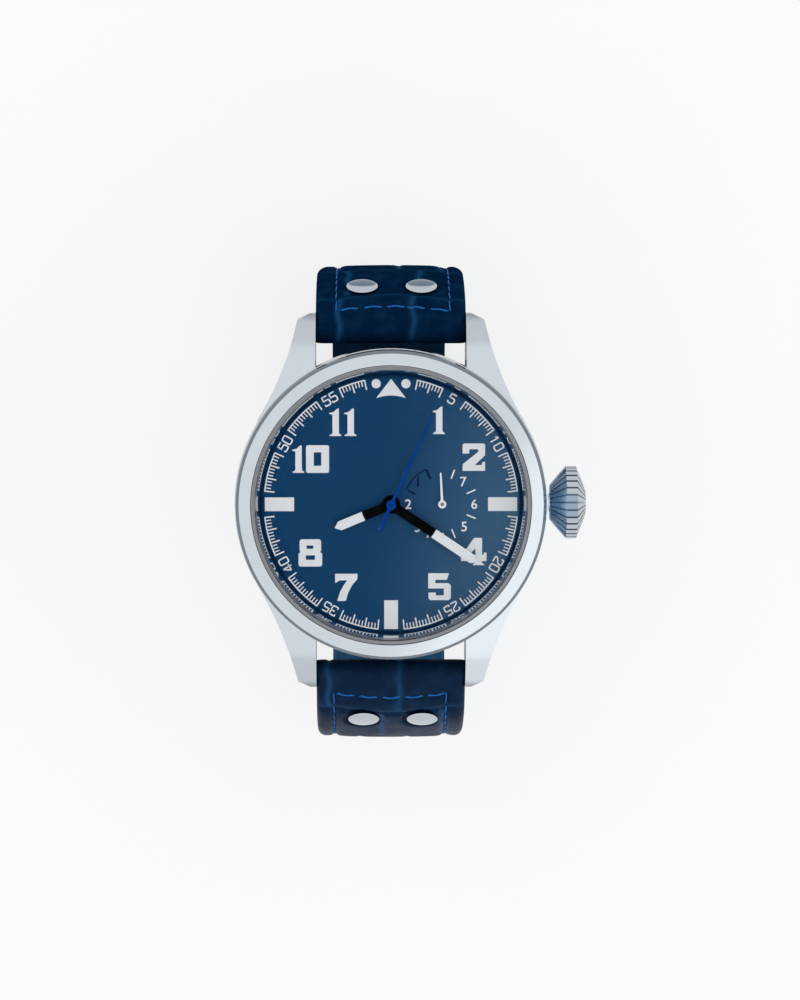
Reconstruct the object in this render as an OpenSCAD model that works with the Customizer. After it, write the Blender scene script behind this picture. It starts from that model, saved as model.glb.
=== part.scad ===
// Round wristwatch of a pilot's pattern: steel case, blue dial with a small extra dial, fluted
// pull-out crown, battery movement, and a riveted blue leather strap closed on its pin buckle.
// Z runs out of the dial, Y to 12 o'clock, X to the crown. The origin is the middle of the back.

/* [Case] */
// Radius of the case at its widest
case_r = 23.1; // [22.6:0.1:25]
// Height of the case middle's flat top, where the bezel sits
case_top = 10.9; // [10.7:0.05:11.2]
// Height of the case middle's underside
case_low = 1.2; // [1.1:0.05:1.5]
// Radius of the curve of the case flank
flank_r = 30; // [24:1:60]
// Width between the lugs
lug_gap = 22.2; // [22.1:0.1:22.6]
// Reach of the lug tips from the middle
lug_reach = 28; // [27.8:0.1:29]
// Radius of the hollow curve between case and lug tip, seen from above
lug_hollow_r = 50; // [46:1:60]
// Direction in which that curve leaves the case, from the crown axis
lug_root_a = 31; // [29:0.5:33]
// Radius of the round of the lug's top, seen from the side
lug_top_r = 17.2; // [17:0.1:18.5]
// Outer radius of the bezel's top
bezel_r = 22.85; // [22.4:0.05:22.9]
// Height of the bezel's flat top
bezel_top = 12.65; // [12.4:0.05:13]
// Width of the bezel's slanted edge
bezel_bevel = 0.45; // [0.3:0.05:0.6]
// Radius of the glass
glass_r = 20.35; // [20.1:0.05:20.5]
// Thickness of the glass
glass_t = 1.5; // [1:0.1:2]
// Radial thickness of the glass gasket
gasket_t = 0.25; // [0.15:0.05:0.4]
// Inner radius of the sloped ring at the dial
rehaut_r = 19.3; // [19:0.1:19.8]
// Thickness of the back
back_t = 1.4; // [1.3:0.05:1.6]
// Radius of the back's flange
back_r = 21.3; // [21:0.05:21.6]

/* [Crown] */
// Height of the crown's axis above the back
stem_z = 7.9; // [7.7:0.05:8.05]
// Largest radius of the crown
crown_r = 5.35; // [4.5:0.05:5.6]
// Radius of the crown at the case
crown_neck_r = 2.6; // [2.4:0.1:3]
// Radius of the crown's outer end
crown_end_r = 1.7; // [1.2:0.1:2.2]
// Where the crown starts, from the middle of the watch
crown_x = 23.5; // [23.45:0.05:24]
// Length of the crown's inner cone
crown_cone_in = 2.3; // [2:0.1:3]
// Length of the crown's straight band
crown_band = 1.6; // [1:0.1:2.2]
// Length of the crown's outer cone
crown_cone_out = 1.4; // [1:0.1:2]
// Number of ribs round the crown
crown_ribs = 30; // [24:2:36]
// Share of the crown's edge that the ribs take
rib_share = 0.74; // [0.6:0.02:0.8]
// Depth of the grooves between the ribs
rib_depth = 0.4; // [0.3:0.05:0.6]
// How far the crown pulls out
crown_pull = 1.5; // [0.8:0.1:1.8]
// Radius of the stem
stem_r = 0.45; // [0.4:0.01:0.5]
// Outer radius of the crown tube
tube_r = 1.25; // [1.1:0.05:1.25]

/* [Dial] */
// Height of the dial's face
dial_z = 9.6; // [9.55:0.05:9.65]
// Thickness of the dial
dial_t = 0.4; // [0.3:0.05:0.45]
// Thickness of the raised hour marks
mark_t = 0.1; // [0.06:0.01:0.15]
// Distance of the small dial from the middle
subdial_x = 7.55; // [7.4:0.05:7.55]
// Distance of the hour numerals' middles from the centre
numeral_r = 14.05; // [13.5:0.05:14.4]
// Height of the hour numerals
numeral_h = 4.06; // [3.6:0.02:4.3]
// Width of the hour numerals
numeral_w = 3.4; // [2.8:0.1:3.6]
// Stroke of the hour numerals
numeral_s = 0.95; // [0.7:0.05:1]
// Inner end of the bars at 3, 6 and 9
bar_r0 = 14.3; // [13.5:0.1:15]
// Outer end of the bars at 3, 6 and 9
bar_r1 = 18.6; // [18:0.1:19.2]
// Width of the bars at 3, 6 and 9
bar_w = 2.04; // [1.5:0.02:2.6]

/* [Hands] */
// Length of the hour hand
hour_len = 9; // [8:0.1:11]
// Width of the hour and minute hands
hand_w = 1.38; // [1:0.02:1.6]
// Length of the minute hand
minute_len = 15.3; // [14:0.1:16.5]
// Length of the seconds hand
seconds_len = 14.5; // [13:0.1:17]
// Length of the seconds hand's tail
seconds_tail = 4; // [3:0.1:5]
// Length of the small dial's hand
subhand_len = 4.7; // [4:0.1:4.8]
// Direction of the hour hand, clockwise from 12
hour_a = 247.4; // [0:0.1:360]
// Direction of the minute hand, clockwise from 12
minute_a = 123.9; // [0:0.1:360]
// Direction of the seconds hand, clockwise from 12
seconds_a = 24.6; // [0:0.1:360]
// Direction of the small dial's hand, clockwise from 12
subhand_a = -3; // [-180:1:180]

/* [Movement] */
// Radius of the movement
move_r = 12.9; // [12.8:0.05:13]
// Thickness of the main plate's web below the dial-side wheels
plate_web = 1.4; // [1.35:0.01:1.45]
// Radius of the battery
battery_r = 3.4; // [3:0.1:3.5]
// Height of the battery
battery_h = 2.6; // [2.2:0.05:2.65]
// Thickness of a wheel
wheel_t = 0.15; // [0.1:0.01:0.18]
// Radius of a wheel's arbor
arbor_r = 0.2; // [0.18:0.01:0.22]

/* [Strap] */
// Width of the strap at the lugs
strap_w = 22; // [21.6:0.1:22.1]
// Width of the strap at the buckle
strap_w_end = 18; // [16:0.1:18]
// Distance of the spring bars from the tips of the lugs
bar_inset = 2.1; // [2:0.05:2.2]
// Height of the spring bars above the back
bar_z = 5.2; // [5:0.05:5.4]
// Thickness of the strap round the spring bar
strap_t_bar = 4.2; // [4:0.05:4.3]
// Thickness of the padded strap
strap_t_pad = 4.8; // [4.4:0.1:5]
// Thickness of the buckle half at the buckle
strap_t_short = 2.8; // [2.6:0.05:2.9]
// Thickness of the long half past its padding
strap_t_long = 2.4; // [2.2:0.05:2.5]
// Thickness of the lining
lining_t = 0.9; // [0.7:0.05:1]
// Thickness of the outer leather
leather_t = 1.1; // [0.9:0.05:1.2]
// Width of the padding
pad_w = 14; // [12:0.5:15]
// Distance of the stitch rows from the middle line
stitch_x = 8.2; // [7.8:0.1:8.4]
// Length of one stitch
stitch_len = 1.9; // [1.5:0.1:2.1]
// Distance between stitches
stitch_pitch = 2.6; // [2.4:0.1:3.2]
// Radius of a rivet's head
rivet_r = 2.35; // [2:0.05:2.6]
// Height of a rivet's head
rivet_h = 0.8; // [0.5:0.05:1]
// Distance of the rivets from the middle line
rivet_x = 4.4; // [4:0.1:4.8]
// Distance of the rivets from the spring bar, along the strap
rivet_s = 8.8; // [8.2:0.1:10]
// Radius of a spring bar's tube
spring_tube_r = 0.9; // [0.8:0.05:0.95]
// How far a spring bar's tip can be pushed in
tip_travel = 0.9; // [0.7:0.05:1]

/* [Buckle] */
// Radius of the buckle's bar
buckle_bar_r = 0.75; // [0.7:0.01:0.8]
// Height of the buckle's bar, below the back
buckle_drop = 37.5; // [37.45:0.05:37.55]
// Thickness of the buckle's side arms
arm_t = 1.7; // [1.4:0.1:2]
// Width of the pin
tang_w = 1.7; // [1.4:0.1:1.8]
// Thickness of the leather keepers
keeper_t = 1.1; // [0.9:0.05:1.1]
// Length of a keeper along the strap
keeper_w = 6; // [5:0.5:6.5]
// Radius of the strap's holes
hole_r = 1.1; // [0.9:0.05:1.2]
// Distance between the strap's holes
hole_pitch = 6.5; // [6:0.1:7]

/* [Hidden] */
$fn = 64;
run_fit = 0.04;
seat_gap = 0.05;
strap_gap = 0.35;
loose_gap = 0.15;

case_bore = 20.3;
top_bore = 20.95;
dial_low = dial_z - dial_t;
dial_r = top_bore - 0.1;
rehaut_slope = 1 / 1.7;
shelf_slope = 0.35;
glass_low = case_top + 0.4;
glass_top = glass_low + glass_t;
ring_top_r = rehaut_r + rehaut_slope * (case_top - dial_z);
shelf_r = ring_top_r + shelf_slope * (glass_low - case_top);
flank_z = 9.4;
spigot_r = 20.2;
oring_r = 0.35;

plate_top = dial_low - seat_gap;
plate_low = plate_top - 0.95 - plate_web - 0.2;
pocket_z = plate_low + plate_web;
bridge_top = 4.75;
bridge_low = 4.3;
board_z = 3.3;
board_t = 0.3;
stator_z = 5;
stator_t = 0.4;
core_t = 0.4;

numeral_z = dial_z + mark_t;
subhand_z = dial_z + 0.25;
hour_z = dial_z + 0.55;
minute_z = dial_z + 0.9;
seconds_z = dial_z + 1.2;

bar_y = lug_reach - bar_inset;
tip_r = 0.5;
tip_plunger_r = 0.6;
bar_half = lug_gap / 2 - 1.3;
tip_in_lug = 0.9;
lug_hole_deep = 1.1;

loop_r = 1.7;
keeper_half = strap_w_end / 2 + 0.3;
short_low = -(buckle_drop + loop_r);
long_low = short_low - 0.1 - strap_t_long;
keeper_low = long_low - 0.1 - keeper_t;
floor_z = keeper_low;
corner_r = 18.5;
corner_a = 60;
corner_layer = 0.1 + strap_t_long;

// A route is a list of steps: [length, 0] for a straight, [radius, turn] for an arc.
// A place on it is [y, z, heading, length so far].
function step_len(g) = g[1] == 0 ? g[0] : g[0] * abs(g[1]) * PI / 180;
function walk(p, g, t) =
    g[1] == 0
    ? [p[0] + g[0] * t * cos(p[2]), p[1] + g[0] * t * sin(p[2]), p[2], p[3] + g[0] * t]
    : let (side = sign(g[1]), h = p[2] + g[1] * t,
           cy = p[0] - side * g[0] * sin(p[2]), cz = p[1] + side * g[0] * cos(p[2]))
      [cy + side * g[0] * sin(h), cz - side * g[0] * cos(h), h, p[3] + step_len(g) * t];
function step_count(g) = g[1] == 0 ? max(1, ceil(g[0] / 4)) : max(2, ceil(abs(g[1]) / 6));
function trail(p, route, i = 0) =
    i >= len(route)
    ? [p]
    : concat([for (k = [0:step_count(route[i]) - 1]) walk(p, route[i], k / step_count(route[i]))],
             trail(walk(p, route[i], 1), route, i + 1));
function place(p, route, s, i = 0) =
    i >= len(route)
    ? p
    : step_len(route[i]) >= s
    ? walk(p, route[i], s / step_len(route[i]))
    : place(walk(p, route[i], 1), route, s - step_len(route[i]), i + 1);
function inward(p, d) = [p[0] + d * sin(p[2]), p[1] - d * cos(p[2])];
function layer(path, from, to) =
    concat([for (i = [0:len(path) - 1]) inward(path[i], from[i])],
           [for (i = [len(path) - 1:-1:0]) inward(path[i], to[i])]);
function between(path, s0, s1) = [for (p = path) if (p[3] >= s0 && p[3] <= s1) p];

// Outer face of the strap's buckle half, from the spring bar to the buckle's bar
strap_start = [bar_y, bar_z + strap_t_bar / 2, 0, 0];
shoulder_r12 = 5.6;
shoulder_a12 = 66;
flank_r12 = 37.5;
shoulder_12 = walk(strap_start, [shoulder_r12, -shoulder_a12], 1);
flank_end_12 = walk(shoulder_12, [flank_r12, -(180 - corner_a - shoulder_a12)], 1);
corner_r12 = (flank_end_12[1] - short_low) / (1 - cos(corner_a));
corner_end_12 = walk(flank_end_12, [corner_r12, -corner_a], 1);
buckle_y = 1;
route_12 = [
    [shoulder_r12, -shoulder_a12],
    [flank_r12, -(180 - corner_a - shoulder_a12)],
    [corner_r12, -corner_a],
    [corner_end_12[0] - buckle_y - 2.4, 0],
    [2.4, 0]
];
path_12 = trail(strap_start, route_12);
len_12 = path_12[len(path_12) - 1][3];

// Outer face of the long half, seen in the mirror so that it starts in the same way
shoulder_r6 = 8.4;
shoulder_a6 = 58;
flank_r6 = 36;
shoulder_6 = walk(strap_start, [shoulder_r6, -shoulder_a6], 1);
flank_end_6 = walk(shoulder_6, [flank_r6, -(180 - corner_a - shoulder_a6)], 1);
corner_r6 = (flank_end_6[1] - floor_z) / (1 - cos(corner_a));
corner_end_6 = walk(flank_end_6, [corner_r6, -corner_a], 1);
rise_r = 6;
rail_low = floor_z + 0.5;
rail_t = 1.4;
strap_on_rail = rail_low + rail_t + 0.2;
rise_a = acos(1 - (strap_on_rail - floor_z) / (2 * rise_r));
drop_r = 5;
drop_a = acos(1 - (strap_on_rail - long_low) / (2 * drop_r));
rail_y = -8;
rail_w = 1.8;
rise_end = 9.6;
rail_flat = 3;
foot_len = corner_end_6[0] - rise_end - 2 * rise_r * sin(rise_a);
back_len = corner_end_12[0] + rise_end - rail_flat - 2 * drop_r * sin(drop_a);
tip_a = 6;
route_6 = [
    [shoulder_r6, -shoulder_a6],
    [flank_r6, -(180 - corner_a - shoulder_a6)],
    [corner_r6, -corner_a],
    [foot_len, 0],
    [rise_r, -rise_a],
    [rise_r, rise_a],
    [rail_flat, 0],
    [drop_r, drop_a],
    [drop_r, -drop_a],
    [back_len, 0],
    [corner_r12 + corner_layer, -corner_a],
    [flank_r12 + corner_layer, -tip_a]
];
path_6 = trail(strap_start, route_6);
len_6 = path_6[len(path_6) - 1][3];

pad_full = 6;
pad_end_12 = 44;
pad_end_6 = 48;
function thick_12(s) = lookup(s, [[0, strap_t_bar], [pad_full, strap_t_pad], [18, strap_t_pad],
                                  [pad_end_12, strap_t_short], [200, strap_t_short]]);
function thick_6(s) = lookup(s, [[0, strap_t_bar], [pad_full, strap_t_pad], [18, strap_t_pad],
                                 [pad_end_6, strap_t_long], [300, strap_t_long]]);
lining_start = 4.4;
pad_start = 4.4;
groove_w = 0.9;
groove_d = 0.5;
stitch_r = 0.17;
stitch_low = 0.12;
stitch_s0 = 3.4;
stitch_end = 46;
tang_slot_w = tang_w + 0.5;

crown_mid = crown_x + crown_cone_in;
crown_out = crown_mid + crown_band;
crown_end = crown_out + crown_cone_out;
crown_hollow_r = tube_r + 0.25;
crown_hollow = crown_pull + 1.6;
tube_end = crown_x + 1.3;
stem_in = 9.9;

hub_hour_r = 0.85;
hub_minute_r = 0.5;
hub_seconds_r = 0.25;

// Wheel positions, and the turn that sets each wheel in mesh with the one before it
function mate_turn(n, dir, other_n, other_turn) =
    dir - 360 / n * (0.5 - (dir + 180 - other_turn) * other_n / 360);
rotor_dir = 140;
third_dir = 250;
minute_dir = 240;
rotor_m = 0.1;
train_m = 0.12;
motion_m = 0.15;
third_reach = train_m * (60 + 8) / 2;
centre_m = 2 * third_reach / (64 + 8);
inter_reach = train_m * (40 + 8) / 2;
minute_reach = motion_m * (36 + 12) / 2;
hour_m = 2 * minute_reach / (40 + 10);
third_at = third_reach * [cos(third_dir), sin(third_dir)];
inter_at = inter_reach * [cos(rotor_dir), sin(rotor_dir)];
rotor_at = (inter_reach + rotor_m * (36 + 6) / 2) * [cos(rotor_dir), sin(rotor_dir)];
minute_at = minute_reach * [cos(minute_dir), sin(minute_dir)];
day_m = 0.1;
idler_reach = day_m * (40 + 24) / 2;
idler_to_sub = day_m * (40 + 48) / 2;
idler_x = (idler_reach * idler_reach - idler_to_sub * idler_to_sub + subdial_x * subdial_x)
          / (2 * subdial_x);
idler_at = [idler_x, sqrt(idler_reach * idler_reach - idler_x * idler_x)];
idler_dir = atan2(idler_at[1], idler_at[0]);
day_dir = atan2(-idler_at[1], subdial_x - idler_at[0]);
pillars = [[-6.3, 0.2], [4.6, 1.6], [-3.2, -8.4]];
pillar_r = 0.75;
screw_r = 0.35;
post_r = 0.17;
inter_post_top = 6;
battery_at = [6.6, -6.4];
coil_y = 8.9;
coil_r = 0.95;
coil_z = stator_z + stator_t + core_t / 2;
core_ends = [-7.3, 7.2];
lever_at = [11.2, -3.1];
lever_pin = [10.6, -0.1];
lever_post_r = 0.26;

module side_extrude(w) {
    rotate([90, 0, 90])
        linear_extrude(w, center = true)
            children();
}

module along_x(x) {
    translate([x, 0, stem_z])
        rotate([0, 90, 0])
            children();
}

module clock(a) {
    rotate([0, 0, -a])
        children();
}

module at_place(p) {
    translate([0, p[0], p[1]])
        rotate([p[2], 0, 0])
            children();
}

module both_bars() {
    for (m = [0, 1])
        mirror([0, m, 0])
            translate([0, bar_y, bar_z])
                children();
}

module ring(r_out, r_in, h) {
    difference() {
        cylinder(r = r_out, h = h);
        translate([0, 0, -1])
            cylinder(r = r_in, h = h + 2);
    }
}

// A toothed disc of n teeth and pitch diameter n * m, one of whose tips points to turn
module toothed(n, m, h, turn) {
    root = m * (n / 2 - 1);
    tip = m * (n / 2 + 0.7);
    linear_extrude(h)
        polygon([for (i = [0:2 * n - 1])
            let (a = turn + 180 * i / n, r = i % 2 == 0 ? tip : root) [r * cos(a), r * sin(a)]]);
}

module lug_plan() {
    root_c = (case_r + lug_hollow_r) * [cos(lug_root_a), sin(lug_root_a)];
    difference() {
        polygon([[lug_gap / 2, 17.5], [case_r * cos(lug_root_a), case_r * sin(lug_root_a)],
                 [17, lug_reach - 1.9], [13.9, lug_reach - 1.1], [12, lug_reach - 0.1],
                 [lug_gap / 2, lug_reach]]);
        translate(root_c)
            circle(r = lug_hollow_r, $fn = 128);
    }
}

module lug_side() {
    top_y = 16.1;
    intersection() {
        translate([top_y, case_top + 0.3 - lug_top_r])
            circle(r = lug_top_r, $fn = 128);
        polygon([[8, case_low + 0.4], [22, case_low + 0.4], [lug_reach - 1, case_low + 0.9],
                 [lug_reach, bar_z], [lug_reach - 0.4, case_top], [8, case_top]]);
    }
}

module lug() {
    intersection() {
        linear_extrude(case_top)
            lug_plan();
        translate([lug_gap / 2 + 6, 0, 0])
            side_extrude(14)
                lug_side();
    }
}

module case_middle() {
    color("lightsteelblue")
        difference() {
            union() {
                rotate_extrude($fn = 128)
                    intersection() {
                        translate([case_r - flank_r, flank_z])
                            circle(r = flank_r, $fn = 128);
                        polygon([[spigot_r - 1.5, case_low], [case_r - 1.6, case_low],
                                 [case_r + 1, case_low + 1.4], [case_r + 1, case_top],
                                 [spigot_r - 1.5, case_top]]);
                    }
                for (mx = [0, 1], my = [0, 1])
                    mirror([mx, 0, 0])
                        mirror([0, my, 0])
                            lug();
            }
            translate([0, 0, case_low - 1])
                cylinder(r = case_bore, h = case_top, $fn = 128);
            translate([0, 0, dial_low])
                cylinder(r = top_bore, h = case_top, $fn = 128);
            along_x(case_bore - 1)
                cylinder(r = tube_r + run_fit / 2, h = 6);
            both_bars()
                rotate([0, 90, 0])
                    cylinder(r = strap_t_bar / 2 + strap_gap, h = lug_gap - strap_gap, center = true);
            both_bars()
                rotate([0, 90, 0])
                    cylinder(r = tip_r + run_fit, h = lug_gap + 2 * lug_hole_deep, center = true);
        }
}

module bezel() {
    color("gainsboro")
        rotate_extrude($fn = 128)
            polygon([[ring_top_r, case_top], [case_r - 0.15, case_top],
                     [case_r - 0.15, case_top + 0.35], [bezel_r, bezel_top - bezel_bevel],
                     [bezel_r - bezel_bevel, bezel_top], [glass_r + gasket_t + 0.1, bezel_top],
                     [glass_r + gasket_t, bezel_top - 0.1], [glass_r + gasket_t, glass_low],
                     [shelf_r, glass_low]]);
}

module crystal() {
    edge = 0.25;
    color("azure", 0.3)
        rotate_extrude($fn = 128)
            polygon([[0, glass_low], [glass_r, glass_low], [glass_r, glass_top - edge],
                     [glass_r - edge, glass_top], [0, glass_top]]);
}

module crystal_gasket() {
    color("whitesmoke")
        translate([0, 0, glass_low])
            ring(glass_r + gasket_t, glass_r, bezel_top - glass_low - 0.25, $fn = 128);
}

module rehaut() {
    color("silver")
        rotate_extrude($fn = 128)
            polygon([[rehaut_r, dial_z], [top_bore - seat_gap, dial_z],
                     [top_bore - seat_gap, case_top], [ring_top_r, case_top]]);
}

module case_back() {
    lip = 0.5;
    color("silver")
        difference() {
            union() {
                rotate_extrude($fn = 128)
                    polygon([[0, 0], [back_r - lip, 0], [back_r, lip], [back_r, case_low],
                             [spigot_r, case_low], [spigot_r, case_low + 1.1],
                             [spigot_r - 0.8, case_low + 1.1], [spigot_r - 0.8, back_t],
                             [0, back_t]]);
            }
            translate([0, 0, case_low + 0.5])
                rotate_extrude($fn = 128)
                    translate([spigot_r, 0])
                        circle(r = oring_r, $fn = 24);
            translate([0, -back_r, 0])
                cube([4, 0.9, 0.7], center = true);
        }
}

module case_back_gasket() {
    color("dimgray")
        intersection() {
            translate([0, 0, case_low + 0.5])
                rotate_extrude($fn = 128)
                    translate([spigot_r, 0])
                        circle(r = oring_r - run_fit / 2, $fn = 24);
            cylinder(r = case_bore - 0.01, h = 4, $fn = 128);
        }
}

module crown_tube() {
    color("silver")
        along_x(case_bore + 0.05)
            ring(tube_r, stem_r + run_fit, tube_end - case_bore - 0.05);
}

module crown_outline(sink) {
    polygon([[0, 0], [crown_neck_r - sink, 0], [crown_r - sink, crown_cone_in],
             [crown_r - sink, crown_cone_in + crown_band],
             [crown_end_r + 0.8 - sink, crown_end - crown_x - 0.25],
             [crown_end_r - sink, crown_end - crown_x], [0, crown_end - crown_x]]);
}

// Wedges that widen outwards, one for each rib
module rib_wedges() {
    foot = 1;
    far = crown_r + 1;
    slant = tan(rib_share * 180 / crown_ribs);
    for (i = [0:crown_ribs - 1])
        rotate([0, 0, i * 360 / crown_ribs])
            linear_extrude(crown_end - crown_x)
                polygon([[foot, -foot * slant], [far, -far * slant],
                         [far, far * slant], [foot, foot * slant]]);
}

module crown() {
    color("lightslategray")
        difference() {
            along_x(crown_x)
                union() {
                    rotate_extrude($fn = 60)
                        crown_outline(rib_depth);
                    intersection() {
                        rib_wedges();
                        rotate_extrude($fn = 60)
                            crown_outline(0);
                    }
                }
            along_x(crown_x - 1)
                cylinder(r = crown_hollow_r, h = crown_hollow + 1);
            along_x(crown_x)
                cylinder(r = stem_r, h = crown_hollow + 1.2);
        }
}

module crown_gasket() {
    color("dimgray")
        along_x(crown_x + 0.15)
            ring(crown_hollow_r - 0.01, tube_r + 0.02, 0.7);
}

module stem() {
    groove_x = 10.25;
    color("silver")
        difference() {
            union() {
                along_x(stem_in)
                    cylinder(r = stem_r - 0.02, h = crown_x + crown_hollow + 1.1 - stem_in);
                along_x(12.2)
                    cylinder(r = stem_r + 0.25, h = 0.6);
            }
            along_x(groove_x)
                ring(stem_r + 1, stem_r - 0.2, 0.7);
        }
}

module movement_ring() {
    color("white")
        difference() {
            translate([0, 0, back_t + seat_gap])
                cylinder(r = case_bore - seat_gap, h = plate_top - back_t - seat_gap);
            translate([0, 0, board_z - 0.1])
                cylinder(r = move_r + seat_gap, h = 20);
            translate([0, 0, -1])
                cylinder(r = move_r - 1, h = 20);
            ring(case_bore + 1, spigot_r - 0.9, case_low + 1.2);
            along_x(move_r - 1)
                cylinder(r = stem_r + 0.45, h = 20);
        }
}

module dial() {
    color("midnightblue")
        difference() {
            translate([0, 0, dial_low])
                cylinder(r = dial_r, h = dial_t, $fn = 128);
            cylinder(r = hub_hour_r + 0.15, h = 20);
            translate([subdial_x, 0, 0])
                cylinder(r = 0.45, h = 20);
        }
}

module hour_markers() {
    dot_r = 0.68;
    dot_at = 17.95;
    dot_a = 7;
    apex = 18.54;
    base = 15.7;
    base_half = 2.18;
    base_rise = 0.38;
    color("white")
        translate([0, 0, dial_z])
            linear_extrude(mark_t) {
                for (a = [90, 180, 270])
                    clock(a)
                        translate([-bar_w / 2, bar_r0])
                            square([bar_w, bar_r1 - bar_r0]);
                for (a = [-dot_a, dot_a])
                    clock(a)
                        translate([0, dot_at])
                            circle(r = dot_r, $fn = 32);
                polygon(concat([[0, apex]], [for (t = [1:-0.25:-1])
                    [base_half * t, base + base_rise * (1 - t * t)]]));
            }
}

// Strokes of a square numeral in a box of width w, height h and stroke s, centred
module strokes(d, w, h, s) {
    on = [
        [1, 1, 1, 1, 1, 1, 0], [0, 0, 0, 0, 0, 0, 0], [1, 1, 0, 1, 1, 0, 1],
        [1, 1, 1, 1, 0, 0, 1], [0, 1, 1, 0, 0, 1, 1], [1, 0, 1, 1, 0, 1, 1],
        [1, 0, 1, 1, 1, 1, 1], [1, 1, 1, 0, 0, 0, 0], [1, 1, 1, 1, 1, 1, 1]
    ][d];
    half = h / 2 + s / 2;
    boxes = [
        [-w / 2, h / 2 - s, w, s], [w / 2 - s, -s / 2, s, half], [w / 2 - s, -h / 2, s, half],
        [-w / 2, -h / 2, w, s], [-w / 2, -h / 2, s, half], [-w / 2, -s / 2, s, half],
        [-w / 2, -s / 2, w, s]
    ];
    for (i = [0:6])
        if (on[i] == 1)
            translate([boxes[i][0], boxes[i][1]])
                square([boxes[i][2], boxes[i][3]]);
    if (d == 1) {
        translate([-s / 2, -h / 2])
            square([s, h]);
        translate([-s * 0.9, -h / 2])
            square([s * 1.8, s * 0.35]);
        translate([-s, h / 2 - s * 0.8])
            square([s, s * 0.4]);
    }
}

module hour_numerals() {
    narrow = 0.62;
    color("white")
        translate([0, 0, dial_z])
            linear_extrude(mark_t) {
                for (d = [1, 2, 4, 5, 7, 8])
                    translate(numeral_r * [sin(30 * d), cos(30 * d)])
                        strokes(d, numeral_w, numeral_h, numeral_s);
                translate(numeral_r * [sin(300), cos(300)]) {
                    translate([-1.6, 0])
                        strokes(1, numeral_w, numeral_h, numeral_s);
                    translate([1, 0])
                        strokes(0, numeral_w * narrow * 1.3, numeral_h, numeral_s * 0.9);
                }
                translate(numeral_r * [sin(330), cos(330)])
                    for (x = [-1, 1])
                        translate([x, 0])
                            strokes(1, numeral_w, numeral_h, numeral_s);
            }
}

module sword(len, w, hub, hole, h) {
    point = 0.8;
    difference() {
        union() {
            cylinder(r = hub, h = h, $fn = 32);
            linear_extrude(h)
                polygon([[-w / 2, 0], [-w / 2, len - point], [0, len], [w / 2, len - point],
                         [w / 2, 0]]);
        }
        translate([0, 0, -1])
            cylinder(r = hole, h = h + 2);
    }
}

module needle(tail, len, w, point, hub, hole, h) {
    difference() {
        union() {
            cylinder(r = hub, h = h, $fn = 32);
            linear_extrude(h)
                polygon([[-w / 2, -tail], [-point / 2, len], [point / 2, len], [w / 2, -tail]]);
        }
        translate([0, 0, -1])
            cylinder(r = hole, h = h + 2);
    }
}

module hour_hand() {
    color("white")
        clock(hour_a)
            translate([0, 0, hour_z])
                sword(hour_len, hand_w, 1.35, hub_hour_r, 0.18);
}

module minute_hand() {
    color("white")
        clock(minute_a)
            translate([0, 0, minute_z])
                sword(minute_len, hand_w, 1.15, hub_minute_r, 0.16);
}

module seconds_hand() {
    color("royalblue")
        clock(seconds_a)
            translate([0, 0, seconds_z])
                needle(seconds_tail, seconds_len, 0.5, 0.28, 0.72, hub_seconds_r, 0.12);
}

module subdial_hand() {
    color("silver")
        translate([subdial_x, 0, subhand_z])
            clock(subhand_a)
                needle(0, subhand_len, 0.4, 0.24, 0.6, 0.3, 0.12);
}

module main_plate() {
    pocket_r = 6.6;
    sub_pocket_r = 2.8;
    boss_r = 0.8;
    color("darkgoldenrod")
        difference() {
            union() {
                translate([0, 0, plate_low])
                    cylinder(r = move_r, h = plate_top - plate_low);
                for (p = pillars)
                    translate([p[0], p[1], bridge_top])
                        cylinder(r = pillar_r, h = plate_low - bridge_top + 0.2);
                for (x = core_ends)
                    translate([x, coil_y, coil_z + core_t / 2])
                        cylinder(r = boss_r, h = plate_low - coil_z);
            }
            difference() {
                translate([0, 0, pocket_z])
                    cylinder(r = pocket_r, h = 4);
                for (p = [minute_at, idler_at])
                    translate([p[0], p[1], 0])
                        cylinder(r = post_r, h = plate_top - 0.1);
            }
            translate([subdial_x, 0, pocket_z + 0.6])
                cylinder(r = sub_pocket_r, h = 4);
            translate([0, 0, plate_low - 1])
                cylinder(r = hub_minute_r + run_fit, h = 6);
            for (p = [third_at, rotor_at])
                translate([p[0], p[1], plate_low - 1])
                    cylinder(r = arbor_r + run_fit, h = 1.35);
            translate([subdial_x, 0, plate_low + 0.4])
                cylinder(r = 0.3 + run_fit, h = 4);
            along_x(stem_in - 0.3)
                cylinder(r = stem_r + run_fit, h = 6);
            along_x(12)
                cylinder(r = stem_r + 0.3, h = 6);
            difference() {
                translate([lever_at[0] - 1.4, lever_at[1] - 0.9, plate_low + 0.3])
                    cube([3.4, 4.5, 1.2]);
                translate([lever_at[0], lever_at[1], 0])
                    cylinder(r = lever_post_r, h = 20);
            }
            for (p = pillars)
                translate([p[0], p[1], 0])
                    cylinder(r = screw_r + 0.01, h = plate_low - 0.1);
        }
}

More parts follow.
